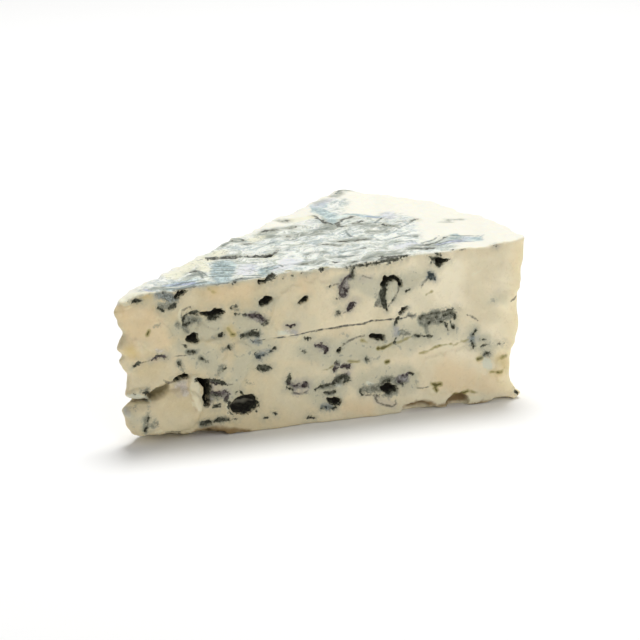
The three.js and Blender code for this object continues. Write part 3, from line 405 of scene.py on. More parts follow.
TOP_LINES = [
    [(28, 2.5, 0.4), (29, 1, 0.4), (28.2, -1.5, 0.3), (27.5, -3, 0.2)],
    [(24, 1, 0.4), (25.5, 0, 0.4), (27, -2.5, 0.3)], [(34.6, -10, 0.3), (37, -11.2, 0.4), (39.4, -12, 0.2)],
    [(38, -7.7, 0.3), (39, -8.2, 0.3)],
    [(43.5, -7, 0.3), (46.5, -7.3, 0.4), (48.5, -9, 0.4), (48, -11.5, 0.3)],
    [(46.5, 0, 0.4), (48.5, -1, 0.4)], [(36, 11.4, 0.5), (37.6, 11.4, 0.4)],
    [(49.5, 17, 0.3), (51.5, 16.5, 0.4)],
    [(53.8, 19.3, 0.4), (56, 18.8, 0.3), (58.3, 19, 0.3), (57, 16.8, 0.4), (54.5, 17.3, 0.3),
     (53.8, 19.3, 0.4)], [(60, 10, 0.4), (62.5, 9.5, 0.4)], [(64.4, 20.7, 0.3), (66.6, 20.2, 0.4)],
    [(67.5, 10, 0.5), (71, 9, 0.4)], [(74, 8, 0.3), (76.5, 7, 0.4)], [(60, 1.2, 0.3), (61, 1, 0.3)],
    [(60, -6, 0.3), (63, -7, 0.4), (66, -8, 0.3)], [(49, -10.7, 0.3), (52, -11.5, 0.4)],
    [(82, -11.5, 0.4), (84.5, -12.5, 0.3)], [(66, -14.5, 0.4), (70.5, -15.5, 0.5)],
    [(67.5, -21.5, 0.3), (70, -21.8, 0.4), (73, -22, 0.3)],
    [(86.5, 5.5, 0.3), (85.2, 3.8, 0.4), (83.5, 0, 0.4), (84, -2, 0.2)],
    [(88, 11.8, 0.5), (91, 13, 0.5), (97, 13.6, 0.4)], [(97, 4.5, 0.4), (99.5, 6.3, 0.4), (102.8, 8, 0.4)],
    [(100, 0, 0.4), (103.5, -1.5, 0.6), (109, -1.2, 0.3)],
    [(105, -3, 0.3), (100, -4.8, 0.4), (94, -6.6, 0.3)], [(97.8, -3.6, 0.4), (97.2, -6, 0.3)],
    [(89, -9.5, 0.4), (93, -12, 0.4), (96, -15, 0.3)],
    [(93, -24.8, 0.3), (95.5, -25.5, 0.4), (97, -26, 0.3)],
    [(83.5, -23.7, 0.4), (87, -25, 0.6), (91.2, -27, 0.6)],
    [(88, -22.4, 0.4), (96, -22.2, 0.5), (101.5, -21.4, 0.4), (103.8, -21.2, 0.3)],
    [(111.5, -9, 0.3), (114, -10, 0.3)], [(115, -8, 0.4), (117, -9, 0.5), (119, -9.8, 0.3)],
    [(46, -15.8, 0.3), (47, -16, 0.3)], [(52, -18.2, 0.3), (53.4, -18.6, 0.3)],
    [(70, 2, 0.3), (74, 1, 0.3), (77, 2, 0.2)], [(64, 4, 0.2), (67, 3, 0.3), (70, 3.4, 0.2)],
    [(78, 12, 0.3), (82, 10, 0.4), (84, 10.5, 0.3)], [(66, -12, 0.2), (70, -11, 0.3), (74, -12, 0.2)],
    [(58, -9.5, 0.3), (60, -10.5, 0.3)], [(86, -14, 0.3), (89, -16, 0.4), (91, -18, 0.3)],
    [(78, -17, 0.3), (82, -18, 0.3)],
    [(110, 36.4, 0.3), (114.5, 38.5, 0.5), (118, 35.6, 0.5), (119.5, 32, 0.3)],
    [(14, -6, 0.9), (22.5, -9, 0.9), (27, -10.4, 0.8), (31, -11.6, 0.7), (38, -13.4, 0.5)],
    [(12, -3.4, 0.4), (18, -5.6, 0.5), (24, -7.4, 0.4)],
    [(16, -1.4, 0.4), (19.6, -2.6, 0.5), (22, -4.6, 0.4)],
    [(42, -11.6, 0.3), (44, -9.4, 0.4), (46.6, -10.6, 0.3)], [(44, -7.4, 0.3), (46.4, -8.4, 0.3)],
    [(96, -24, 0.4), (99, -25, 0.5), (102, -26.4, 0.4)],
    [(92, -20.6, 0.3), (97, -19.6, 0.4), (101, -18.6, 0.3)],
    [(103, -22.6, 0.4), (106, -25, 0.4), (108, -28, 0.3)],
    [(98, -27, 0.3), (101, -28.6, 0.4), (103.6, -30, 0.3)],
    [(79, -2.4, 0.3), (83, -6.4, 0.4), (86.4, -9.8, 0.3)],
    [(41, -5.4, 0.4), (40.6, -7.4, 0.35), (40.2, -8.8, 0.25)],
    [(28, 3.6, 0.3), (28.6, 2, 0.4), (26.6, -2, 0.4), (25.2, -4, 0.4)],
    [(36.6, 6.2, 0.4), (38.6, 5.2, 0.4), (40.4, 2.4, 0.3)],
    [(34.4, 3.8, 0.3), (36.4, 2.6, 0.45), (38.6, -1, 0.35)],
    [(33, 2, 0.35), (34.6, -0.2, 0.45), (37, -2.6, 0.3)],
    [(31.3, -0.1, 0.3), (33.4, -1, 0.4), (35.8, -4.8, 0.4)],
    [(29.8, -2, 0.4), (31.4, -3.4, 0.45), (34.6, -7, 0.3)],
    [(28.1, -3.9, 0.35), (30.2, -5, 0.4), (32.4, -8.4, 0.35)],
]
TOP_BLUE = [
    [(29.5, -7.4, 2.6), (35, -1, 3.7), (39.6, 4.2, 3.2)], [(96, 29, 2), (101, 31.5, 1.6)],
    [(101, -23, 0.8), (103, -25, 1.4), (101.5, -28.5, 1)],
    [(12, -4, 1), (17, -6, 1.6), (24, -8.4, 1.5), (31, -11, 0.9)],
    [(14.5, -1, 1.2), (19, -1.6, 2), (23, -3.6, 1.5)],
    [(40.6, -12.4, 1.6), (43.6, -8.4, 1.8), (46.4, -9.8, 1.4)],
    [(97, 31, 1.6), (94, 26, 2.6), (93.6, 21, 2.8), (91, 17, 2.4), (88, 13, 1.6)],
    [(98, 17, 1.6), (101, 13, 1.8), (104, 9, 1.4)], [(104, -22, 1.4), (103.4, -26, 1.8), (106, -29.4, 1.4)],
]
TOP_GREY = [
    [(7, 0.4, 1.2), (12, -1.6, 1.2)], [(2, -2.2, 0.8), (5, -3, 0.8)], [(1, -2.6, 1), (2.6, -2.4, 0.8)],
    [(24.5, 0.4, 1), (28, 0, 1.4)], [(43, 9, 1.4), (47, 6.6, 1.2)], [(50, 17, 1), (56, 18, 2.2)],
    [(55.6, 14, 1.2), (58, 13.4, 1)], [(67, 20, 1.6), (72, 20, 1.6), (78, 19, 1.2)],
    [(66, 16, 1.6), (70, 12.4, 2.4), (74, 12, 2)], [(79, 25.4, 1.2), (82, 25, 1)],
    [(76, 8, 1.6), (82, 9, 2.6), (86, 12, 2.4)], [(70, -3, 1.4), (75, -5, 1.4)],
    [(76, -1, 1), (81, -3, 1.4), (84, -6, 1.6)], [(92, 6, 2), (96, 2, 2.6), (98, -3, 1.6)],
    [(90, -2, 2), (95, -3.4, 1.4)], [(62, -6.6, 1.4), (66, -8, 1.2)],
    [(66, -14.4, 1.4), (70.6, -15.6, 1.4)], [(54, -12, 1.4), (60, -14.6, 1.6)],
    [(64, -21, 1.4), (70, -22, 1.8), (77, -22, 1.8), (80, -24.5, 1.4)],
    [(84.5, -24.4, 1), (88, -23.4, 2), (94, -24, 1.8)], [(115, -8, 1), (118, -9.4, 0.9)],
    [(112, -9, 0.8), (113.6, -9.6, 0.7)], [(108, 34.6, 1.6), (113, 37, 1.2), (118, 35.4, 1)],
    [(99, 32.4, 1.4), (103, 33.4, 1.2)], [(96, -13.8, 0.9), (96.6, -14, 0.8)],
]
TOP_LILAC = [
    [(37, -8, 2.6), (43, -2.6, 2.6)], [(46, -12.6, 2), (54, -8, 3)], [(104, 5, 1.6), (107, 10, 1.8)],
    [(98, 31, 2), (104, 33, 1.4)], [(99, -27.6, 1.6), (104, -26, 1.4)], [(84, -20, 2), (90, -20, 1.6)],
]
TOP_OLIVE = [
    [(4, -4.4, 0.5), (8, -5, 0.4)], [(45, -16.4, 0.4), (58, -21, 0.3)],
]
TOP_VIOLET = [
    [(15, -0.4, 0.6), (18.6, -2.2, 1), (20.2, -4.8, 1.1), (20.8, -6.4, 0.6)],
    [(8, -0.6, 0.5), (8.2, -2.4, 0.6)], [(101.4, 12, 0.5), (104, 9, 0.8)],
    [(95, -24, 0.5), (99, -26.4, 0.8), (103, -29, 0.6)],
]
TOP_TEAL = [
    [(14, -3, 1.6), (20, -4.4, 2), (26, -8, 1.4)], [(96, -22.6, 1.6), (104, -24, 2), (108, -28, 1.4)],
    [(40.6, -12.4, 1.6), (43.6, -8.4, 1.8), (46.4, -9.8, 1.4)],
]
TOP_CHALK = [
    [(90.6, 17.4, 1.4), (95.6, 16, 1.6)], [(53, 0.6, 0.8), (49, 3, 0.6)], [(24, -2.6, 1), (22, -3.6, 0.8)],
]
TOP_PALE = [
    [(31, 2, 2), (33, 6, 2)], [(22, 5, 2.4), (36, 10, 2.4), (46, 13, 2.2)],
    [(60, 16, 1.8), (64, 17.4, 1.8)], [(84, 24, 2.6), (87, 22, 2)],
    [(0, -1.6, 3), (4, -2, 2), (8, -3.4, 1)], [(51, 1.4, 1), (54, -0.6, 0.8)],
]
CORNER_RISE = (115.0, -38.5, 6.0, 1.2)
TOP_MARBLED = [
    [(20, -6, 3), (50, -16, 4), (92, -29, 4)],
    [(8, -3, 4), (22, 0, 6), (36, 2, 10), (50, 4, 14), (64, 2, 19), (80, -1, 22), (94, 4, 14)],
    [(60, -20, 4), (80, -25, 4), (100, -24, 4)], [(98, 24, 4), (104, 30, 3)],
]

# How deep the kinds of stroke lie below their surface: the depth is this times the root of the distance from
# the stroke's edge, both in millimetres
HOLE_DEPTH = 3.1
FAR_HOLE_DEPTH = 1.7
PIT_DEPTH = 1.2
DARK_DEPTH = 0.9
GREY_DEPTH = 0.3
NEEDLE_DEPTH = 0.8
CREVICE_DEPTH = 8.0
FAR_CREVICE_DEPTH = 2.7

# The near face's larger forms: over what distance from a stroke's edge each rises or sinks, and how far
LUMP_REACH, LUMP_DOME, LUMP_SLOPE = 3.0, 1.5, 0.5
LIP_REACH, LIP_HEIGHT = 1.0, 0.9
RIDGE_REACH, RIDGE_HEIGHT = 1.0, 0.7
HOLLOW_REACH, HOLLOW_DEPTH, HOLLOW_POWER = 1.4, 2.6, 0.7
RECESS_REACH, RECESS_DEPTH = 0.8, 0.7
FLAKE_REACH, FLAKE_HEIGHT = 0.5, 0.4

# How far a stroke's edge wanders, the shares and sizes of its lumps, and the seeds on each side. The larger
# forms have a raggedness and a seed of their own.
EDGE_WAVE = 0.6
THIN_WAVE = 0.2
EDGE_LUMPS = [(0.6, 1.7), (0.4, 0.7)]
NEAR_SEED, FAR_SEED, TOP_SEED, RIND_SEED, BASE_SEED = 41, 61, 73, 83, 91
LUMP_EDGE, LIP_EDGE, RIDGE_EDGE = (0.5, 31), (0.7, 37), (0.2, 39)
HOLLOW_EDGE, RECESS_EDGE, FLAKE_EDGE = (0.4, 47), (0.8, 33), (1.4, 34)
CREVICE_EDGE, FAR_CREVICE_EDGE = (0.25, 35), (0.25, FAR_SEED)

# The fine unevenness of each surface, as (height, size, seed) of its lumps, and each surface's own layer of
# the noise
CRUMB = [(0.16, 4.5, 21), (0.13, 1.9, 22), (0.08, 0.9, 23)]
TOP_CRUMB = [(0.14, 3.2, 71), (0.08, 1.4, 72)]
RIND_CRUMB = [(0.16, 3.6, 81), (0.09, 1.5, 82)]
TIP_CRUMB = [(0.4, 2.6, 86), (0.25, 1.1, 87)]
CHIP_CRUMB = [(0.6, 2.4, 53), (0.4, 1.1, 54)]
NEAR_LAYER, FAR_LAYER, RIND_LAYER, TIP_LAYER, CHIP_LAYER = 3.0, 9.0, 5.0, 2.0, 6.0
NEAR_BITE_LAYER, FAR_BITE_LAYER = 0.0, 8.0
BITE_SIZE, BITE_SEED, BITE_DEPTH, BITE_REACH = 2.6, 51, 0.9, 0.9

# Veins on the unseen sides: how they head off and turn, how many points they have and how far apart
VEIN_HEADING, VEIN_UPRIGHT_SHARE, VEIN_TURN = 0.7, 0.3, 0.9
VEIN_POINTS, VEIN_PACE = (2, 6), (1, 2.6)

# Marks are looked for down to MARK_REACH below their surface. Each millimetre down takes its sink from a
# mark's width.
FAR_AWAY = 9.0
MARK_REACH = 5.0
SINK = {"umber": 0.0, "hole": 0.2, "crack": 0.2}
OTHER_SINK, TOP_SINK = 0.8, 2.0
# How far in from the rind the cut faces take the rind's cream: partly the rind's own colour, partly a
# painted glow along that edge
RIND_GLOW_REACH = 7.0
TOP_OVERHANG = 0.9
TOP_BLEND, RIND_BLEND = 1.2, 2.4

# The mesh's vertex colours, and the kinds of mark that their channels hold
CHANNELS = {
    "veins": ("dark", "grey", "blue"),
    "tints": ("olive", "haze", "umber"),
    "places": ("top", "rind", "pale"),
    "lines": ("needle", "hole", "crack"),
    "details": ("gleam", "hollow", "line"),
    "casts": ("warm", "lilac", "plum"),
    "stains": ("chalk", "stain"),
}


def along(profile, x):
    """The value at x of the smooth line through (x, value) pairs, for a whole array."""
    stops, values = (np.array(c, float) for c in zip(*profile))
    i = np.clip(np.searchsorted(stops, x, side="right") - 1, 0, len(stops) - 2)
    share = np.clip((x - stops[i]) / (stops[i + 1] - stops[i]), 0, 1)
    share = share * share * (3 - 2 * share)
    return values[i] + (values[i + 1] - values[i]) * share


def fade(distance, reach):
    return np.exp(-((distance / reach) ** 2))


def swell(a, b, phase):
    """How far a surface swells out, as on the CAD solid."""
    return sum(h * np.sin(ka * a + kb * b + turn * phase) for h, ka, kb, turn in SWELL_WAVES)


def lumpy(points, size, seed):
    """Smooth noise from -1 to 1 at an array of points, in lumps of about the given size."""
    side = 32
    table = np.random.default_rng(seed).uniform(-1, 1, (side, side, side)).astype(np.float32)
    scaled = points / size
    cell = np.floor(scaled).astype(int)
    share = scaled - cell
    share = share * share * (3 - 2 * share)
    total = np.zeros(len(points))
    for corner in np.ndindex(2, 2, 2):
        at = (cell + corner) % side
        weight = np.prod(np.where(corner, share, 1 - share), axis=1)
        total += weight * table[at[:, 0], at[:, 1], at[:, 2]]
    return total


def flat_points(a, b, layer=0.0):
    return np.stack([a, b, np.full(a.shape, layer)], axis=-1).reshape(-1, 3)


def seeded(seed):
    """The CAD solid's random source, number for number."""
    state = seed
    while True:
        state = (state * 1664525 + 1013904223) % 4294967296
        yield state / 4294967296


def stroke_distance(a, b, strokes):
    """The distance from points to the nearest stroke's edge, negative inside it."""
    nearest = np.full(a.shape, FAR_AWAY)
    for stroke in strokes:
        for (a0, b0, w0), (a1, b1, w1) in zip(stroke, stroke[1:]):
            da, db = a1 - a0, b1 - b0
            share = np.clip(((a - a0) * da + (b - b0) * db) / (da * da + db * db), 0, 1)
            gap = np.hypot(a - a0 - share * da, b - b0 - share * db) - (w0 + share * (w1 - w0))
            np.minimum(nearest, gap, out=nearest)
    return nearest


def uneven(points, waves, shape):
    """Noise in lumps of several sizes. waves: the height, size and seed of each."""
    return sum(height * lumpy(points, size, seed) for height, size, seed in waves).reshape(shape)


def ragged(a, b, strokes, amount, seed):
    """The distance to the nearest stroke's edge, where the edge wanders by an amount."""
    waves = [(share, size, seed + i) for i, (share, size) in enumerate(EDGE_LUMPS)]
    return stroke_distance(a, b, strokes) + amount * uneven(flat_points(a, b), waves, a.shape)


def share_inside(distance, reach):
    """From 0 at a stroke's edge to 1 at some distance inside it."""
    return np.clip(-distance / reach, 0, 1)


def dome(share):
    return np.sqrt(1 - (1 - share) ** 2)


def dip(distance, depth):
    """How far a stroke's surface lies below the face around it."""
    return depth * np.sqrt(np.clip(-distance, 0, None))


def far_marks():
    """The far face's pockets, by the CAD solid's rule, as strokes."""
    random = seeded(SEED)
    placed = []
    while len(placed) < FAR_POCKETS:
        s = FAR_MARGIN_S + next(random) * (CUT_LENGTH - 2 * FAR_MARGIN_S)
        z = FAR_MARGIN_Z + next(random) * (TIP_HEIGHT - 2 * FAR_MARGIN_Z)
        half = FAR_SMALLEST + FAR_SPREAD * next(random) ** FAR_SIZE_POWER
        if any(math.hypot(p[0] - s, p[1] - z) <= p[2] + half + FAR_SPACING for p in placed):
            continue
        height = half * (FAR_FLATTEST + FAR_FLATNESS_SPREAD * next(random))
        placed.append((s, z, half, height, math.radians(FAR_TILT + FAR_TILT_SPREAD * next(random))))
    strokes = []
    for s, z, half, height, tilt in placed:
        reach = half - height
        ds, dz = reach * math.cos(tilt), reach * math.sin(tilt)
        strokes.append([(s + ds, z - dz, height), (s - ds, z + dz, height)])
    return strokes


def wandering(count, low, high, widths, seed):
    """Strokes that wander over a face, placed by a seeded rule inside a box from low to high."""
    random = np.random.default_rng(seed)
    strokes = []
    for _ in range(count):
        a, b = random.uniform(low, high)
        heading = random.uniform(-VEIN_HEADING, VEIN_HEADING)
        if random.random() < VEIN_UPRIGHT_SHARE:
            heading += math.pi / 2
        stroke = []
        for _ in range(random.integers(*VEIN_POINTS)):
            stroke.append((a, b, random.uniform(*widths)))
            pace = random.uniform(*VEIN_PACE)
            a, b = a + pace * math.cos(heading), b + pace * math.sin(heading)
            heading += random.uniform(-VEIN_TURN, VEIN_TURN)
        strokes.append(stroke)
    return strokes


# The box (low, high) that each unseen side's veins start in
FACE_BOX = ((9, 4), (114, 41))
RIND_BOX = ((-34, 5), (34, 42))
BASE_BOX = ((25, -14), (104, 14))
FAR_HOLES = far_marks()
FAR_DARK = wandering(46, *FACE_BOX, (0.15, 0.6), 5)
FAR_GREY = [[(a, b, 1.5 * w + 0.4) for a, b, w in stroke] for stroke in FAR_DARK[::2] + FAR_HOLES]
FAR_OLIVE = wandering(9, *FACE_BOX, (0.12, 0.3), 6)
FAR_HAZE = [[(a, b, 3.5) for a, b, _ in stroke] for stroke in FAR_DARK[::3]]
RIND_DARK = wandering(9, *RIND_BOX, (0.12, 0.4), 7)
RIND_GREY = wandering(12, *RIND_BOX, (0.6, 1.8), 8)
BASE_DARK = wandering(26, *BASE_BOX, (0.15, 0.6), 9)
BASE_GREY = wandering(20, *BASE_BOX, (0.5, 1.6), 10)


def rind_pits():
    """The rind's pits, by the CAD solid's rule, as strokes."""
    random = seeded(SEED + 1)
    pits = []
    for i in range(RIND_PITS):
        share = -RIND_PIT_SPAN + 2 * RIND_PIT_SPAN * (i + 0.5 * next(random)) / (RIND_PITS - 1)
        z = RIND_PIT_LOWEST + RIND_PIT_SPREAD * next(random)
        half = RIND_PIT_SMALLEST + next(random)
        y = share * CUT_LENGTH * SIN
        pits.append([(y - 0.5 * half, z - 0.3, 1), (y + 0.5 * half, z + 0.3, 1)])
    return pits


RIND_HOLES = rind_pits()


def cut_form(s, z, phase, layer):
    """A cut face's swell and crumb, and the outlines of the rind and the tip where it ends."""
    height = swell(s, z, phase) + uneven(flat_points(s, z, layer), CRUMB, s.shape)
    height += SIN * (along(RIND_PROFILE, z) * fade(CUT_LENGTH - s, RIND_REACH))
    height -= SIN * (along(TIP_PROFILE, z) * fade(s, TIP_REACH))
    return height


def bitten(s, z, layer):
    """How much has crumbled off along a cut face's upper edge."""
    bite = np.clip(lumpy(flat_points(s, 0 * z, layer), BITE_SIZE, BITE_SEED), 0, 1).reshape(s.shape)
    return BITE_DEPTH * bite * np.exp(-np.clip(height_at(s) - z, 0, None) / BITE_REACH)


def near_relief(s, z):
    """How far the near face stands out of its plane."""
    height = cut_form(s, z, NEAR_PHASE, NEAR_LAYER)
    crown = share_inside(ragged(s, z, LUMP, *LUMP_EDGE), LUMP_REACH)
    height += LUMP_DOME * dome(crown) + LUMP_SLOPE * crown
    height += LIP_HEIGHT * dome(share_inside(ragged(s, z, LIP, *LIP_EDGE), LIP_REACH))
    height += RIDGE_HEIGHT * dome(share_inside(ragged(s, z, RIDGE, *RIDGE_EDGE), RIDGE_REACH))
    height -= HOLLOW_DEPTH * share_inside(ragged(s, z, HOLLOW, *HOLLOW_EDGE), HOLLOW_REACH) ** HOLLOW_POWER
    height -= RECESS_DEPTH * share_inside(ragged(s, z, RECESS, *RECESS_EDGE), RECESS_REACH)
    height += FLAKE_HEIGHT * share_inside(ragged(s, z, FLAKES, *FLAKE_EDGE), FLAKE_REACH)
    height -= dip(ragged(s, z, CREVICE, *CREVICE_EDGE), CREVICE_DEPTH)
    for strokes, depth in ((HOLES, HOLE_DEPTH), (DARK, DARK_DEPTH), (GREY, GREY_DEPTH)):
        height -= dip(ragged(s, z, strokes, EDGE_WAVE, NEAR_SEED), depth)
    height -= dip(stroke_distance(s, z, NEEDLE), NEEDLE_DEPTH)
    return height - bitten(s, z, NEAR_BITE_LAYER)


def far_relief(s, z):
    height = cut_form(s, z, FAR_PHASE, FAR_LAYER)
    height -= dip(ragged(s, z, FAR_CREVICE, *FAR_CREVICE_EDGE), FAR_CREVICE_DEPTH)
    for strokes, depth in ((FAR_HOLES, FAR_HOLE_DEPTH), (FAR_DARK, DARK_DEPTH), (FAR_GREY, GREY_DEPTH)):
        height -= dip(ragged(s, z, strokes, EDGE_WAVE, FAR_SEED), depth)
    return height - bitten(s, z, FAR_BITE_LAYER)


def top_relief(x, y):
    height = swell(x, y, TOP_PHASE) - TOP_DROOP * fade(x, DROOP_REACH)
    height += uneven(flat_points(x, y), TOP_CRUMB, x.shape)
    height -= dip(ragged(x, y, TOP_CREASES, EDGE_WAVE, TOP_SEED), DARK_DEPTH)
    corner_x, corner_y, reach, rise = CORNER_RISE
    return height + rise * fade(np.hypot(x - corner_x, y - corner_y), reach)


def rind_relief(y, z):
    height = RIND_SWELL * swell(y, z, RIND_PHASE) - along(RIND_PROFILE, z)
    height += uneven(flat_points(y, z, RIND_LAYER), RIND_CRUMB, y.shape)
    return height - dip(ragged(y, z, RIND_HOLES, EDGE_WAVE, RIND_SEED), PIT_DEPTH)


def tip_relief(y, z):
    return uneven(flat_points(y, z, TIP_LAYER), TIP_CRUMB, y.shape)


def height_at(s):
    return TIP_HEIGHT + (RIND_HEIGHT - TIP_HEIGHT) * np.clip(s / CUT_LENGTH, 0, 1)


def smooth_max(a, b, blend):
    return np.maximum(a, b) + np.clip(blend - np.abs(a - b), 0, None) ** 2 / (4 * blend)


def to_wedge(s, n):
    """x and y of a point at s along the near face and n inwards from it."""
    return s * COS + n * SIN, -NOSE_HALF_WIDTH - s * SIN + n * COS


def side_fields(x, y, z, reliefs):
    """How far a point lies outside the near, far, top, rind and tip sides, which have these reliefs."""
    near_out = -x * SIN - (y + NOSE_HALF_WIDTH) * COS
    far_out = -x * SIN + (y - NOSE_HALF_WIDTH) * COS
    half_width = CUT_LENGTH * SIN + NOSE_HALF_WIDTH
    bulge = RIND_BULGE * (1 - np.clip(y / half_width, -BULGE_LIMIT, BULGE_LIMIT) ** 2)
    slope = np.sqrt(1 + (2 * RIND_BULGE * y / half_width**2) ** 2)
    near = near_out - reliefs[0]
    far = far_out - reliefs[1]
    top = z - height_at(np.hypot(x, y)) - reliefs[2]
    rind = (x - CUT_LENGTH * COS - bulge - reliefs[3]) / slope
    tip = along(TIP_PROFILE, z) - NOSE_HALF_WIDTH - x - reliefs[4]
    return near, far, top, rind, tip


def wedge_field(sides, z):
    near, far, top, rind, tip = sides
    body = smooth_max(near, far, EDGE_ROUND)
    body = smooth_max(body, tip, EDGE_ROUND)
    body = smooth_max(body, rind, EDGE_ROUND)
    body = smooth_max(body, top, TOP_ROUND)
    return smooth_max(body, -z, BASE_ROUND)


def carve(field, x, y, z, side, chip, wave):
    """Takes a chip, an ellipsoid with a wavy edge, out of the field. Side -1 is the near face, 1 the far."""
    s, height, half_length, half_height, tilt, depth = chip
    along_face = x * COS + side * y * SIN - s
    outward = side * y * COS - x * SIN - NOSE_HALF_WIDTH * COS
    tilt = math.radians(tilt)
    up = z - height
    a = (along_face * math.cos(tilt) + up * math.sin(tilt)) / half_length
    b = (-along_face * math.sin(tilt) + up * math.cos(tilt)) / half_height
    c = (outward + CHIP_SINK * depth) / depth
    reach = np.sqrt(a * a + b * b + c * c)
    gap = (reach - 1) * min(half_length, half_height, depth) + wave
    np.maximum(field, -gap, out=field)


def surface_net(field, axes):
    """Vertices and quads of the surface where the field is zero, with a vertex in each cell it crosses."""
    inside = field < 0
    shape = np.array(field.shape)
    strides = np.array([shape[1] * shape[2], shape[2], 1])
    cells, crossings = [], []
    for axis in range(3):
        first = [slice(None)] * 3
        second = [slice(None)] * 3
        first[axis], second[axis] = slice(None, -1), slice(1, None)
        changes = inside[tuple(first)] != inside[tuple(second)]
        at = np.argwhere(changes)
        step = np.eye(3, dtype=int)[axis]
        value0 = field[tuple(at.T)]
        value1 = field[tuple((at + step).T)]
        share = value0 / (value0 - value1)
        point = np.stack([axes[i][at[:, i]] for i in range(3)], axis=1)
        width = axes[axis][at[:, axis] + 1] - axes[axis][at[:, axis]]
        point[:, axis] += share * width
        one, two = np.eye(3, dtype=int)[[(axis + 1) % 3, (axis + 2) % 3]]
        ring = np.stack([at - one - two, at - two, at, at - one], axis=1)
        leaving = value0 < 0
        ring[~leaving] = ring[~leaving][:, ::-1]
        cells.append(ring @ strides)
        crossings.append(point)
    cells, crossings = np.concatenate(cells), np.concatenate(crossings)
    _, quads = np.unique(cells, return_inverse=True)
    quads = quads.reshape(-1, 4)
    count = np.bincount(quads.ravel())
    corner_points = np.repeat(crossings, 4, axis=0)
    vertices = np.stack([np.bincount(quads.ravel(), corner_points[:, i]) / count for i in range(3)], axis=1)
    return vertices, quads


def largest_piece(vertices, quads):
    """The mesh without the loose crumbs that the relief sets free."""
    label = np.arange(len(vertices))
    while True:
        lowest = label[quads].min(axis=1)
        new = label.copy()
        for corner in range(4):
            np.minimum.at(new, quads[:, corner], lowest)
        new = new[new]
        if (new == label).all():
            break
        label = new
    keep_label = np.bincount(label).argmax()
    kept = label == keep_label
    number = np.cumsum(kept) - 1
    return vertices[kept], number[quads[kept[quads[:, 0]]]]


def n_axis():
    """Distances inwards from the near face, closest together near it."""
    start, end = N_RANGE
    stops = [start]
    while stops[-1] < end:
        stops.append(stops[-1] + min(N_FINE + N_GROWTH * max(stops[-1] - N_CLOSE, 0), N_COARSE))
    return np.array(stops)


def spread(table, stops, where):
    """Rows of a table, interpolated at an array of places between its stops."""
    place = np.clip((where - stops[0]) / (stops[1] - stops[0]), 0, len(stops) - 1.001)
    row = place.astype(int)
    share = (place - row)[..., None]
    return table[row] * (1 - share) + table[row + 1] * share


def spread_relief(relief, ends, z_axis, where):
    """A side's relief, worked out along the side between its ends and read at an array of places on it."""
    stops = np.arange(*ends, STEP)
    return spread(relief(*np.meshgrid(stops, z_axis, indexing="ij")), stops, where)


def wedge_surface():
    """The wedge's vertices, in its own coordinates, and its quads."""
    s_axis, z_axis = np.arange(*S_RANGE, STEP), np.arange(*Z_RANGE, STEP)
    depths = n_axis()
    x, y = to_wedge(*np.meshgrid(s_axis, depths, indexing="ij"))
    near = near_relief(*np.meshgrid(s_axis, z_axis, indexing="ij"))[:, None, :]
    far = spread_relief(far_relief, FAR_RANGE, z_axis, x * COS + (y - NOSE_HALF_WIDTH) * SIN)
    rind = spread_relief(rind_relief, RIND_RANGE, z_axis, y)
    tip = spread_relief(tip_relief, TIP_RANGE, z_axis, y)
    top = top_relief(x, y)[..., None]
    x, y, z = x[..., None], y[..., None], z_axis[None, None, :]
    field = wedge_field(side_fields(x, y, z, (near, far, top, rind, tip)), z)
    face = flat_points(*np.meshgrid(s_axis, z_axis, indexing="ij"), CHIP_LAYER)
    wave = CHIP_WAVE * uneven(face, CHIP_CRUMB, (len(s_axis), 1, -1))
    for side, chips in ((-1, NEAR_CHIPS), (1, FAR_CHIPS)):
        for chip in chips:
            carve(field, x, y, z, side, chip, wave)
    vertices, quads = largest_piece(*surface_net(field, (s_axis, depths, z_axis)))
    x, y = to_wedge(vertices[:, 0], vertices[:, 1])
    return np.stack([x, y, vertices[:, 2]], axis=1), quads


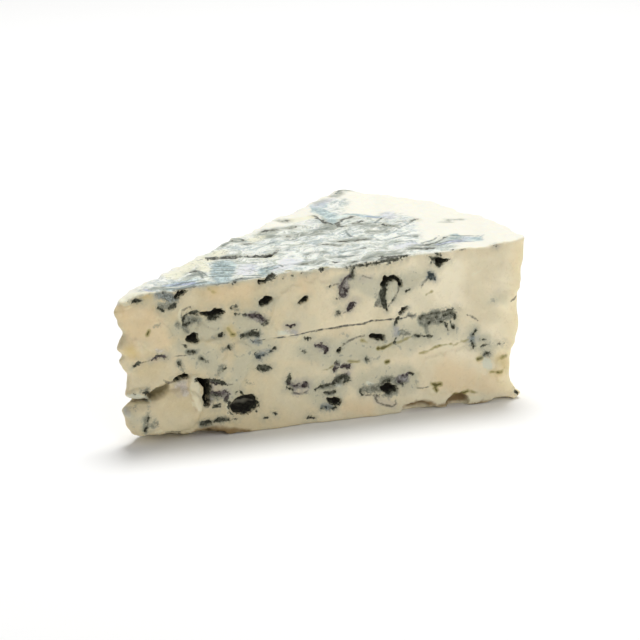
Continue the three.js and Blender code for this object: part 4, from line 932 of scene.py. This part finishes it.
def face_marks(points):
    """For each vertex, its distance to each kind of mark, and how far it belongs to the top and the rind."""
    x, y, z = points.T
    near_s = x * COS - (y + NOSE_HALF_WIDTH) * SIN
    far_s = x * COS + (y - NOSE_HALF_WIDTH) * SIN
    faces = near_relief(near_s, z), far_relief(far_s, z)
    reliefs = *faces, top_relief(x, y), rind_relief(y, z), tip_relief(y, z)
    near, far, top, rind, _ = side_fields(x, y, z, reliefs)
    depth = {"near": -near, "far": -far, "top": -top, "rind": -rind, "base": z}
    place = {"near": (near_s, z), "far": (far_s, z), "top": (x, y), "rind": (y, z), "base": (x, y)}
    seeds = {"near": NEAR_SEED, "far": FAR_SEED, "top": TOP_SEED, "rind": RIND_SEED, "base": BASE_SEED}
    families = {
        "dark": {"near": DARK, "far": FAR_DARK, "top": TOP_DARK, "rind": RIND_DARK, "base": BASE_DARK},
        "hole": {"near": HOLES, "far": FAR_HOLES, "top": TOP_HOLES},
        "crack": {"near": CREVICE, "far": FAR_CREVICE},
        "hollow": {"near": HOLLOW},
        "grey": {"near": GREY, "far": FAR_GREY, "top": TOP_GREY, "rind": RIND_GREY, "base": BASE_GREY},
        "blue": {"near": BLUE, "top": TOP_BLUE},
        "olive": {"near": OLIVE, "far": FAR_OLIVE, "top": TOP_OLIVE},
        "haze": {"near": HAZE, "far": FAR_HAZE, "top": TOP_MARBLED},
        "pale": {"near": PALE_AND_HIGHLIGHTS, "top": TOP_PALE},
        "gleam": {"near": HOLE_BAND_AND_GLINT},
        "line": {"near": LINES, "top": TOP_LINES},
        "warm": {"near": WARM},
        "lilac": {"near": LILAC, "top": TOP_LILAC},
        "umber": {"near": CHIP_SHADE},
        "plum": {"near": PLUM, "top": TOP_TEAL},
        "chalk": {"near": CHALK, "top": TOP_CHALK},
        "stain": {"near": OCHRE, "top": TOP_VIOLET},
        "needle": {"near": NEEDLE},
    }
    marks = {}
    for family, by_side in families.items():
        nearest = np.full(len(points), FAR_AWAY)
        for side, strokes in by_side.items():
            close = np.flatnonzero(depth[side] < MARK_REACH)
            a, b = (c[close] for c in place[side])
            wave = THIN_WAVE if family in ("line", "needle") else EDGE_WAVE
            sink = TOP_SINK if side == "top" else SINK.get(family, OTHER_SINK)
            gap = ragged(a, b, strokes, wave, seeds[side]) + sink * np.clip(depth[side][close], 0, None)
            nearest[close] = np.minimum(nearest[close], gap)
        marks[family] = nearest
    others = np.minimum(depth["near"], np.minimum(depth["far"], depth["rind"]) + TOP_OVERHANG)
    marks["top"] = np.clip(0.5 + (others - depth["top"]) / TOP_BLEND, 0, 1)
    sides = np.minimum(depth["near"], depth["far"])
    # the cut faces' strip along the rind: the rind's own cream with a painted glow
    edge = np.clip((RIND_GLOW_REACH - depth["rind"]) / RIND_GLOW_REACH, 0, 1)
    side_on = np.clip(0.5 + (sides - depth["rind"]) / RIND_BLEND, 0, 1)
    marks["rind"] = np.maximum(side_on, edge) * (1 - marks["top"])
    return marks


def add_attribute(mesh, name, values):
    """A vertex colour whose channels hold up to three marks."""
    layer = mesh.attributes.new(name, "FLOAT_COLOR", "POINT")
    packed = np.ones((len(mesh.vertices), 4), np.float32)
    packed[:, :len(values)] = np.stack(values, axis=1)
    layer.data.foreach_set("color", packed.ravel())


def put(name, data):
    """A new object in the scene."""
    thing = bpy.data.objects.new(name, data)
    bpy.context.scene.collection.objects.link(thing)
    return thing


def wedge_offset(points):
    """From the wedge's own coordinates to the frame's, in millimetres: the boxes' middles meet."""
    low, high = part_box(NODE)
    middle = (Vector(low) + Vector(high)) / 2 / MM
    own = (points.min(axis=0) + points.max(axis=0)) / 2
    return np.array([middle.x - own[0], middle.y - own[1], low.z / MM])


def thinned(points, quads):
    """The surface with fewer triangles on the base, the far face and the rind, which lie out of the view."""
    mesh = bpy.data.meshes.new("full")
    mesh.from_pydata(points.tolist(), [], quads.tolist())
    full = put("full", mesh)
    x, y, z = points.T
    near_out = -x * SIN - (y + NOSE_HALF_WIDTH) * COS
    seen = (near_out > -SEEN_BEHIND_NEAR) | (z > height_at(np.hypot(x, y)) - SEEN_BELOW_TOP)
    group = full.vertex_groups.new(name="coarse")
    group.add(np.flatnonzero(~(seen & (z > SEEN_ABOVE))).tolist(), 1.0, "REPLACE")
    thin = full.modifiers.new("thin", "DECIMATE")
    thin.ratio = MOST_TRIANGLES / (2 * len(quads))
    thin.vertex_group = group.name
    result = full.evaluated_get(bpy.context.evaluated_depsgraph_get()).to_mesh()
    result.calc_loop_triangles()
    triangles = np.empty(3 * len(result.loop_triangles), int)
    result.loop_triangles.foreach_get("vertices", triangles)
    vertices = np.empty(3 * len(result.vertices))
    result.vertices.foreach_get("co", vertices)
    bpy.data.objects.remove(full)
    bpy.data.meshes.remove(mesh)
    return vertices.reshape(-1, 3), triangles.reshape(-1, 3)


def make_wedge(points, faces, offset):
    mesh = bpy.data.meshes.new("blue_cheese")
    mesh.from_pydata(((points + offset) * MM).tolist(), [], faces.tolist())
    mesh.validate()
    marks = face_marks(points)
    for attribute, kinds in CHANNELS.items():
        add_attribute(mesh, attribute, [marks[kind] for kind in kinds])
    mesh.shade_smooth()
    return put("blue_cheese", mesh)


def colour(red, green, blue):
    """A colour given as it shows on screen, from 0 to 255, as the linear values that Blender takes."""
    shares = (c / 255 for c in (red, green, blue))
    return (*(c / 12.92 if c <= 0.04045 else ((c + 0.055) / 1.055) ** 2.4 for c in shares), 1.0)


# The colours of the paste, of the top's skin, and of the mould
PASTE_AT_TIP = colour(213, 197, 157)
PASTE_AT_RIND = colour(249, 238, 208)
PASTE_CLOUD = colour(216, 209, 180)
PASTE_PATCH = colour(227, 212, 176)
PEACH = colour(236, 211, 168)
HAZE_GREY = colour(197, 194, 169)
# The rind's cream, also laid along the cut faces' rind edge as a painted glow
RIND_CREAM_AND_GLOW = colour(255, 239, 198)
CRUMB_LIGHT = colour(250, 240, 212)
CRUMB_SHADE = colour(176, 160, 122)
# Painted shade for the chips and undercuts along the lower edge
CHIP_SHADE_BROWN = colour(134, 106, 62)
OCHRE_STAIN = colour(216, 192, 122)
SKIN_CREAM = colour(233, 231, 217)
SKIN_MARBLED = colour(232, 234, 225)
WASH_GREEN = colour(170, 177, 162)
WASH_TEAL = colour(166, 179, 178)
SKIN_GREY = colour(143, 149, 137)
TEAL_DEEP = colour(138, 160, 164)
TEAL_LIGHT = colour(190, 208, 206)
TEAL_NET = colour(104, 132, 140)
SKIN_LILAC = colour(206, 207, 216)
SKIN_PALE = colour(231, 228, 202)
SKIN_CHALK = colour(224, 234, 228)
SKIN_VIOLET = colour(158, 166, 202)
SKIN_LINE = colour(104, 114, 108)
# Pale curd, also used for painted highlights on flake edges and rims
CURD_PALE_AND_HIGHLIGHT = colour(233, 226, 196)
LILAC_LIGHT = colour(218, 212, 208)
LILAC_DARK = colour(150, 142, 140)
CURD_CHALK = colour(222, 223, 204)
BLUE_STAIN = colour(146, 152, 158)
PLUM_STAIN = colour(186, 176, 168)
OLIVE_EDGE = colour(160, 148, 84)
OLIVE_CORE = colour(98, 91, 42)
# Painted shade in the hollow under the lip
HOLLOW_SHADE = colour(122, 110, 74)
HALO_GREY = colour(166, 167, 148)
FLECK_GREY = colour(126, 131, 122)
VEIN_LIGHT = colour(150, 152, 136)
VEIN_DARK = colour(80, 84, 73)
VEIN_BLUE_LIGHT = colour(150, 164, 166)
VEIN_BLUE_DARK = colour(72, 88, 92)
VEIN_PLUM_LIGHT = colour(168, 158, 158)
VEIN_PLUM_DARK = colour(88, 76, 80)
LINE_BROWN = colour(88, 84, 72)
NEEDLE_GREY = colour(88, 88, 78)
CRACK_PAINTED_SHADE = colour(68, 60, 42)
CORE_EDGE = colour(112, 112, 94)
CORE_DARK = colour(56, 56, 42)
CORE_MOTTLE = colour(114, 115, 99)
CORE_BLUE_DARK = colour(58, 70, 74)
CORE_BLUE_LIGHT = colour(112, 124, 126)
CORE_PLUM_DARK = colour(66, 52, 54)
CORE_PLUM_LIGHT = colour(118, 106, 108)
CORE_TOP_DARK = colour(80, 82, 76)
CORE_TOP_LIGHT = colour(138, 140, 132)
HOLE_RIM = colour(78, 80, 62)
HOLE_DARK = colour(28, 25, 18)
HOLE_MOTTLE = colour(66, 64, 50)
HOLE_BAND_AND_GLINT_GREY = colour(150, 146, 128)


class Graph:
    """Short ways to add nodes to a material."""

    def __init__(self, material):
        self.tree = material.node_tree
        self.tree.nodes.clear()

    def add(self, kind, sockets=None, **settings):
        node = self.tree.nodes.new(kind)
        for name, value in settings.items():
            setattr(node, name, value)
        for name, value in (sockets or {}).items():
            if isinstance(value, bpy.types.NodeSocket):
                self.tree.links.new(value, node.inputs[name])
            else:
                node.inputs[name].default_value = value
        return node

    def math(self, operation, a, b=0.0):
        return self.add("ShaderNodeMath", {0: a, 1: b}, operation=operation).outputs[0]

    def times(self, value, *factors):
        for factor in factors:
            value = self.math("MULTIPLY", value, factor)
        return value

    def plus(self, a, b):
        return self.math("ADD", a, b)

    def stir(self, value, noise, amount):
        """A value moved up and down by a noise."""
        return self.plus(value, self.times(self.math("SUBTRACT", noise, 0.5), amount))

    def share(self, value, low, high):
        """A smooth share from 0 at low to 1 at high, where low may be the larger one."""
        sockets = {"Value": value, "From Min": low, "From Max": high}
        return self.add("ShaderNodeMapRange", sockets, interpolation_type="SMOOTHSTEP").outputs[0]

    def noise(self, place, per_mm, detail=3.0, roughness=0.55, distortion=0.0):
        sockets = {"Vector": place, "Scale": per_mm / MM, "Detail": detail}
        sockets.update({"Roughness": roughness, "Distortion": distortion})
        return self.add("ShaderNodeTexNoise", sockets).outputs["Fac"]

    def mix(self, share, a, b):
        """From colour a, where the share is 0, to colour b."""
        return self.add("ShaderNodeMix", {0: share, 6: a, 7: b}, data_type="RGBA").outputs[2]

    def lay(self, under, over, *shares):
        """One colour laid over another, by the product of the shares."""
        return self.mix(self.times(*shares), under, over)

    def channels(self, attribute):
        source = self.add("ShaderNodeAttribute", attribute_name=attribute, attribute_type="GEOMETRY")
        return self.add("ShaderNodeSeparateColor", {0: source.outputs["Color"]}).outputs


def mark_nodes(g):
    """The mesh's marks, and the noises and shares that several layers of colour use."""
    m = SimpleNamespace(place=g.add("ShaderNodeTexCoord").outputs["Object"])
    for attribute, kinds in CHANNELS.items():
        for kind, socket in zip(kinds, g.channels(attribute)):
            setattr(m, kind, socket)
    m.fine = g.noise(m.place, 1.6, 4.0, 0.6)
    m.speck = g.noise(m.place, 0.9, 3.0, 0.65)
    m.fleck = g.noise(m.place, 0.55, 4.0, 0.62)
    m.cloud = g.noise(m.place, 0.09, 3.0, 0.5)
    m.patch = g.noise(m.place, 0.045, 2.0, 0.5)
    m.jitter = g.times(g.math("SUBTRACT", m.fine, 0.5), 2.6)
    m.hazy = g.share(g.stir(m.haze, m.cloud, 12.0), 2.0, -2.5)
    m.below = g.math("SUBTRACT", 1.0, m.top)
    m.blotch = g.times(g.math("SUBTRACT", m.speck, 0.5), 2.4)
    m.wobble = g.plus(g.times(m.jitter, 0.6), g.times(m.blotch, 0.7))
    m.mottle = g.share(g.plus(g.times(m.speck, 0.5), g.times(m.fine, 0.5)), 0.43, 0.57)
    m.bluish = g.times(g.share(g.plus(m.blue, m.blotch), 0.8, -0.6), m.below)
    m.purplish = g.times(g.share(g.plus(m.plum, m.blotch), 0.8, -0.6), m.below)
    m.any_dark = g.math("MINIMUM", m.dark, m.hole)
    return m


def paste_tone(g, m):
    """The paste: peach to greenish cream, in soft clouds, with painted brown shade in the deepest chips and
    undercuts.
    """
    sides = g.add("ShaderNodeSeparateXYZ", {0: m.place}).outputs
    paste = g.mix(g.share(sides[0], -0.045, 0.03), PASTE_AT_TIP, PASTE_AT_RIND)
    paste = g.lay(paste, PASTE_CLOUD, g.share(m.cloud, 0.42, 0.62), 0.6)
    paste = g.lay(paste, PASTE_PATCH, g.share(m.patch, 0.45, 0.65), 0.5)
    warmth = g.share(g.stir(m.warm, m.cloud, 8.0), 1.5, -2.5)
    paste = g.lay(paste, PEACH, warmth, 0.55)
    paste = g.lay(paste, HAZE_GREY, m.hazy, 0.75)
    # the rind's cream, with a painted glow along the cut faces' rind edge
    paste = g.lay(paste, RIND_CREAM_AND_GLOW, m.rind, 0.9)
    crumbs = g.plus(g.times(m.fine, 0.5), g.times(m.fleck, 0.5))
    paste = g.lay(paste, CRUMB_LIGHT, g.share(crumbs, 0.52, 0.62), 0.12)
    paste = g.lay(paste, CRUMB_SHADE, g.share(crumbs, 0.48, 0.38), 0.12)
    # painted shade in the chips and undercuts along the lower edge
    paste = g.lay(paste, CHIP_SHADE_BROWN, g.share(m.umber, 0.8, -0.6), 0.9)
    stained = g.stir(m.stain, m.speck, 2.0)
    paste = g.lay(paste, OCHRE_STAIN, g.share(stained, 1.8, -1.2), 0.6)
    return paste


def top_tone(g, m):
    """The top: smeared cream, marbled with grey-green and blue, and thin darker lines."""
    smear = g.add(
        "ShaderNodeMapping", {"Vector": m.place, "Rotation": (0, 0, math.radians(32)), "Scale": (0.7, 1, 1)}
    )
    streak = g.noise(smear.outputs[0], 0.3, 6.0, 0.68, 1.2)
    thin = g.noise(smear.outputs[0], 0.36, 5.0, 0.62, 1.8)
    hue = g.noise(m.place, 0.12, 2.0, 0.5)
    marbled = g.share(g.stir(m.haze, m.cloud, 10.0), 2.5, -2.0)
    skin = g.mix(marbled, SKIN_CREAM, SKIN_MARBLED)
    tint = g.mix(g.share(hue, 0.42, 0.58), WASH_GREEN, WASH_TEAL)
    wash = g.times(g.share(streak, 0.42, 0.62), marbled, 0.8)
    skin = g.lay(skin, tint, wash)
    grey_patch = g.times(g.share(m.grey, 1.8, -1.2), g.share(streak, 0.3, 0.56))
    skin = g.lay(skin, SKIN_GREY, grey_patch, 0.85)
    blue_patch = g.share(g.stir(m.blue, streak, 5.0), 0.7, -0.9)
    teal = g.mix(g.share(m.fleck, 0.4, 0.6), TEAL_DEEP, TEAL_LIGHT)
    skin = g.lay(skin, teal, blue_patch, 0.85)
    netted = g.times(g.share(m.plum, 0.8, -0.6), g.share(streak, 0.5, 0.4))
    skin = g.lay(skin, TEAL_NET, netted, 0.6)
    lilac_patch = g.times(g.share(m.lilac, 1.2, -1.0), 0.5)
    skin = g.lay(skin, SKIN_LILAC, lilac_patch)
    skin = g.lay(skin, SKIN_PALE, g.share(m.pale, 1.0, -0.8), 0.75)
    skin = g.lay(skin, SKIN_CHALK, g.share(m.chalk, 0.6, -0.8), 0.7)
    skin = g.lay(skin, SKIN_VIOLET, g.share(m.stain, 0.8, -0.6), 0.6)
    lines = g.share(g.math("ABSOLUTE", g.math("SUBTRACT", thin, 0.5)), 0.03, 0.0)
    broken = g.times(g.share(streak, 0.38, 0.6), g.plus(marbled, blue_patch))
    skin = g.lay(skin, SKIN_LINE, lines, broken, 0.75)
    return skin


def stains(g, m, base):
    """Pale curd with painted highlights on flake edges and rims, lilac, chalky, blue, plum and olive stains
    on the cut faces, and painted shade in the hollow under the lip.
    """
    near_pale = g.share(g.plus(m.pale, m.wobble), 0.4, -0.3)
    # pale curd, and painted highlights on flake edges and rims
    base = g.lay(base, CURD_PALE_AND_HIGHLIGHT, near_pale, m.below, 0.75)
    near_lilac = g.share(g.plus(m.lilac, m.wobble), 0.4, -0.4)
    near_lilac = g.times(near_lilac, m.below, 0.55)
    base = g.lay(base, g.mix(m.mottle, LILAC_LIGHT, LILAC_DARK), near_lilac)
    chalky = g.times(g.share(g.plus(m.chalk, m.wobble), 0.4, -0.4), 0.85)
    base = g.lay(base, CURD_CHALK, chalky, m.below)
    base = g.lay(base, BLUE_STAIN, m.bluish, 0.5)
    base = g.lay(base, PLUM_STAIN, m.purplish, 0.3)
    base = g.lay(base, OLIVE_EDGE, g.share(m.olive, 0.4, -0.3), 0.8)
    base = g.lay(base, OLIVE_CORE, g.share(m.olive, -0.2, -0.5))
    # painted shade in the hollow under the lip
    base = g.lay(base, HOLLOW_SHADE, g.share(m.hollow, 0.5, -1.2), 0.9)
    around = g.times(g.share(m.any_dark, 2.4, 0.0), g.share(m.speck, 0.3, 0.6))
    base = g.lay(base, HALO_GREY, around, 0.4)
    flecks = g.times(g.share(m.fleck, 0.58, 0.68), g.times(m.hazy, m.below))
    base = g.lay(base, FLECK_GREY, flecks, 0.6)
    return base


def veins(g, m, base):
    """Mottled grey veins, the fine lines, the needle's channel and painted shade in the crack."""
    grey_cover = g.share(g.plus(m.grey, g.times(m.wobble, 1.5)), 0.5, -0.6)
    grey_cover = g.times(grey_cover, g.math("SUBTRACT", 0.85, g.times(m.top, 0.7)))
    cover = g.mix(m.mottle, VEIN_LIGHT, VEIN_DARK)
    cover = g.lay(cover, g.mix(m.mottle, VEIN_BLUE_LIGHT, VEIN_BLUE_DARK), m.bluish, 0.6)
    cover = g.lay(cover, g.mix(m.mottle, VEIN_PLUM_LIGHT, VEIN_PLUM_DARK), m.purplish, 0.6)
    base = g.lay(base, cover, grey_cover)
    drawn = g.times(g.share(g.plus(m.line, g.times(m.wobble, 0.4)), 0.25, -0.2), 0.8)
    drawn = g.times(drawn, g.share(m.speck, 0.2, 0.45))
    base = g.lay(base, g.mix(m.top, LINE_BROWN, SKIN_LINE), drawn)
    base = g.lay(base, NEEDLE_GREY, g.share(m.needle, 0.18, -0.08), g.share(m.speck, 0.2, 0.6))
    # painted shade in the crevices
    base = g.lay(base, CRACK_PAINTED_SHADE, g.share(m.crack, 0.1, -0.6), 0.85)
    return base


def cores(g, m, base):
    """The dark cores of the mould, and the holes, with a greenish edge, and a grey band with a painted glint
    inside the big hole.
    """
    dark_edge = g.plus(m.dark, m.wobble)
    core = g.mix(g.share(dark_edge, 0.1, -0.4), CORE_EDGE, CORE_DARK)
    core = g.lay(core, CORE_MOTTLE, m.mottle, 0.65)
    core = g.lay(core, g.mix(m.mottle, CORE_BLUE_DARK, CORE_BLUE_LIGHT), m.bluish, 0.6)
    core = g.lay(core, g.mix(m.mottle, CORE_PLUM_DARK, CORE_PLUM_LIGHT), m.purplish, 0.7)
    core = g.lay(core, g.mix(m.mottle, CORE_TOP_DARK, CORE_TOP_LIGHT), m.top, 0.75)
    base = g.lay(base, core, g.share(dark_edge, 0.25, -0.15))
    hole_edge = g.plus(m.hole, g.times(m.wobble, 0.8))
    core = g.mix(g.share(hole_edge, 0.1, -0.6), HOLE_RIM, HOLE_DARK)
    core = g.lay(core, HOLE_MOTTLE, g.share(m.speck, 0.48, 0.6), 0.5)
    # the big hole's grey band and painted glint
    core = g.lay(core, HOLE_BAND_AND_GLINT_GREY, g.share(m.gleam, 0.3, -0.4), 0.8)
    base = g.lay(base, core, g.share(hole_edge, 0.25, -0.15))
    return base


# The paste is damp, and its mould drier
ROUGHNESS, ROUGHNESS_SPREAD, MOULD_ROUGHNESS = 0.46, 0.2, 0.3


def cheese_material():
    material = bpy.data.materials.new("blue_cheese_paste")
    material.use_nodes = True
    g = Graph(material)
    m = mark_nodes(g)
    base = g.mix(m.top, paste_tone(g, m), top_tone(g, m))
    for layers in (stains, veins, cores):
        base = layers(g, m, base)
    damp = g.plus(ROUGHNESS, g.times(m.speck, ROUGHNESS_SPREAD))
    rough = g.plus(damp, g.times(g.share(m.any_dark, 0.2, -0.2), MOULD_ROUGHNESS))
    grain = g.plus(g.times(m.fine, 0.5), g.noise(m.place, 4.0, 2.0, 0.6))
    bump = g.add("ShaderNodeBump", {"Height": grain, "Strength": 0.35, "Distance": 0.25 * MM})
    shader = g.add(
        "ShaderNodeBsdfPrincipled",
        {
            "Base Color": base,
            "Roughness": rough,
            "Normal": bump.outputs[0],
            "Subsurface Weight": 0.25,
            "Subsurface Radius": (1.0, 0.75, 0.45),
            "Subsurface Scale": 2.0 * MM,
            "Specular IOR Level": 0.4,
        },
    )
    g.add("ShaderNodeOutputMaterial", {"Surface": shader.outputs[0]})
    return material


# The photograph's view: the camera looks at a point of the wedge from this azimuth, elevation and distance,
# and the point shows at this pixel of the 640 pixel frame
FRAME_PIXELS = 640
VIEW_AZIMUTH = math.radians(-40.94)
VIEW_ELEVATION = math.radians(16.17)
VIEW_DISTANCE = 900.0
VIEW_TARGET = (64.0, 0.0, 21.0)
TARGET_PIXEL = (299.4, 330.2)
PIXELS_PER_MM = 3.4968
NEAREST, FARTHEST = 0.05, 20

# The studio, in metres and watts: (name, place, target, size, power) of each light
LIGHTS = [
    ("overhead", (0.3, 0.25, 1.15), (0, 0, 0), 0.58, 12.3),
    ("front", (-0.3, -1.3, 0.7), (0, 0, 0.02), 0.9, 4.2),
]
WORLD_STRENGTH = 0.34
FLOOR_HALF = 6.0
FLOOR_WHITE = colour(247, 247, 246)
FLOOR_ROUGHNESS = 0.8


def make_camera(offset):
    back = Vector(
        (
            math.sin(VIEW_AZIMUTH) * math.cos(VIEW_ELEVATION),
            -math.cos(VIEW_AZIMUTH) * math.cos(VIEW_ELEVATION),
            math.sin(VIEW_ELEVATION),
        )
    )
    data = bpy.data.cameras.new("view")
    data.sensor_width = 36.0
    data.lens = PIXELS_PER_MM * VIEW_DISTANCE / FRAME_PIXELS * data.sensor_width
    data.shift_x = 0.5 - TARGET_PIXEL[0] / FRAME_PIXELS
    data.shift_y = TARGET_PIXEL[1] / FRAME_PIXELS - 0.5
    data.clip_start, data.clip_end = NEAREST, FARTHEST
    camera = put("view", data)
    target = (Vector(VIEW_TARGET) + Vector(offset)) * MM
    camera.location = target + back * VIEW_DISTANCE * MM
    camera.rotation_euler = (-back).to_track_quat("-Z", "Y").to_euler()
    bpy.context.scene.camera = camera


def make_floor():
    mesh = bpy.data.meshes.new("floor")
    corners = [(x * FLOOR_HALF, y * FLOOR_HALF, 0) for x, y in ((-1, -1), (1, -1), (1, 1), (-1, 1))]
    mesh.from_pydata(corners, [], [(0, 1, 2, 3)])
    material = bpy.data.materials.new("white_floor")
    material.use_nodes = True
    g = Graph(material)
    shader = g.add("ShaderNodeBsdfPrincipled", {"Base Color": FLOOR_WHITE, "Roughness": FLOOR_ROUGHNESS})
    g.add("ShaderNodeOutputMaterial", {"Surface": shader.outputs[0]})
    mesh.materials.append(material)
    put("floor", mesh)


def make_light(name, place, target, size, power):
    data = bpy.data.lights.new(name, "AREA")
    data.shape = "DISK"
    data.size = size
    data.energy = power
    light = put(name, data)
    light.location = place
    light.rotation_euler = (Vector(place) - Vector(target)).to_track_quat("Z", "Y").to_euler()


def make_lights():
    world = bpy.data.worlds.new("studio")
    world.use_nodes = True
    background = world.node_tree.nodes["Background"].inputs
    background["Color"].default_value = (1, 1, 1, 1)
    background["Strength"].default_value = WORLD_STRENGTH
    bpy.context.scene.world = world
    for light in LIGHTS:
        make_light(*light)
    bpy.context.scene.view_settings.view_transform = "Standard"


points, faces = thinned(*wedge_surface())
offset = wedge_offset(points)
wedge = make_wedge(points, faces, offset)
wedge.data.materials.append(cheese_material())
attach(wedge, "root")
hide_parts(NODE)
make_camera(offset)
make_floor()
make_lights()
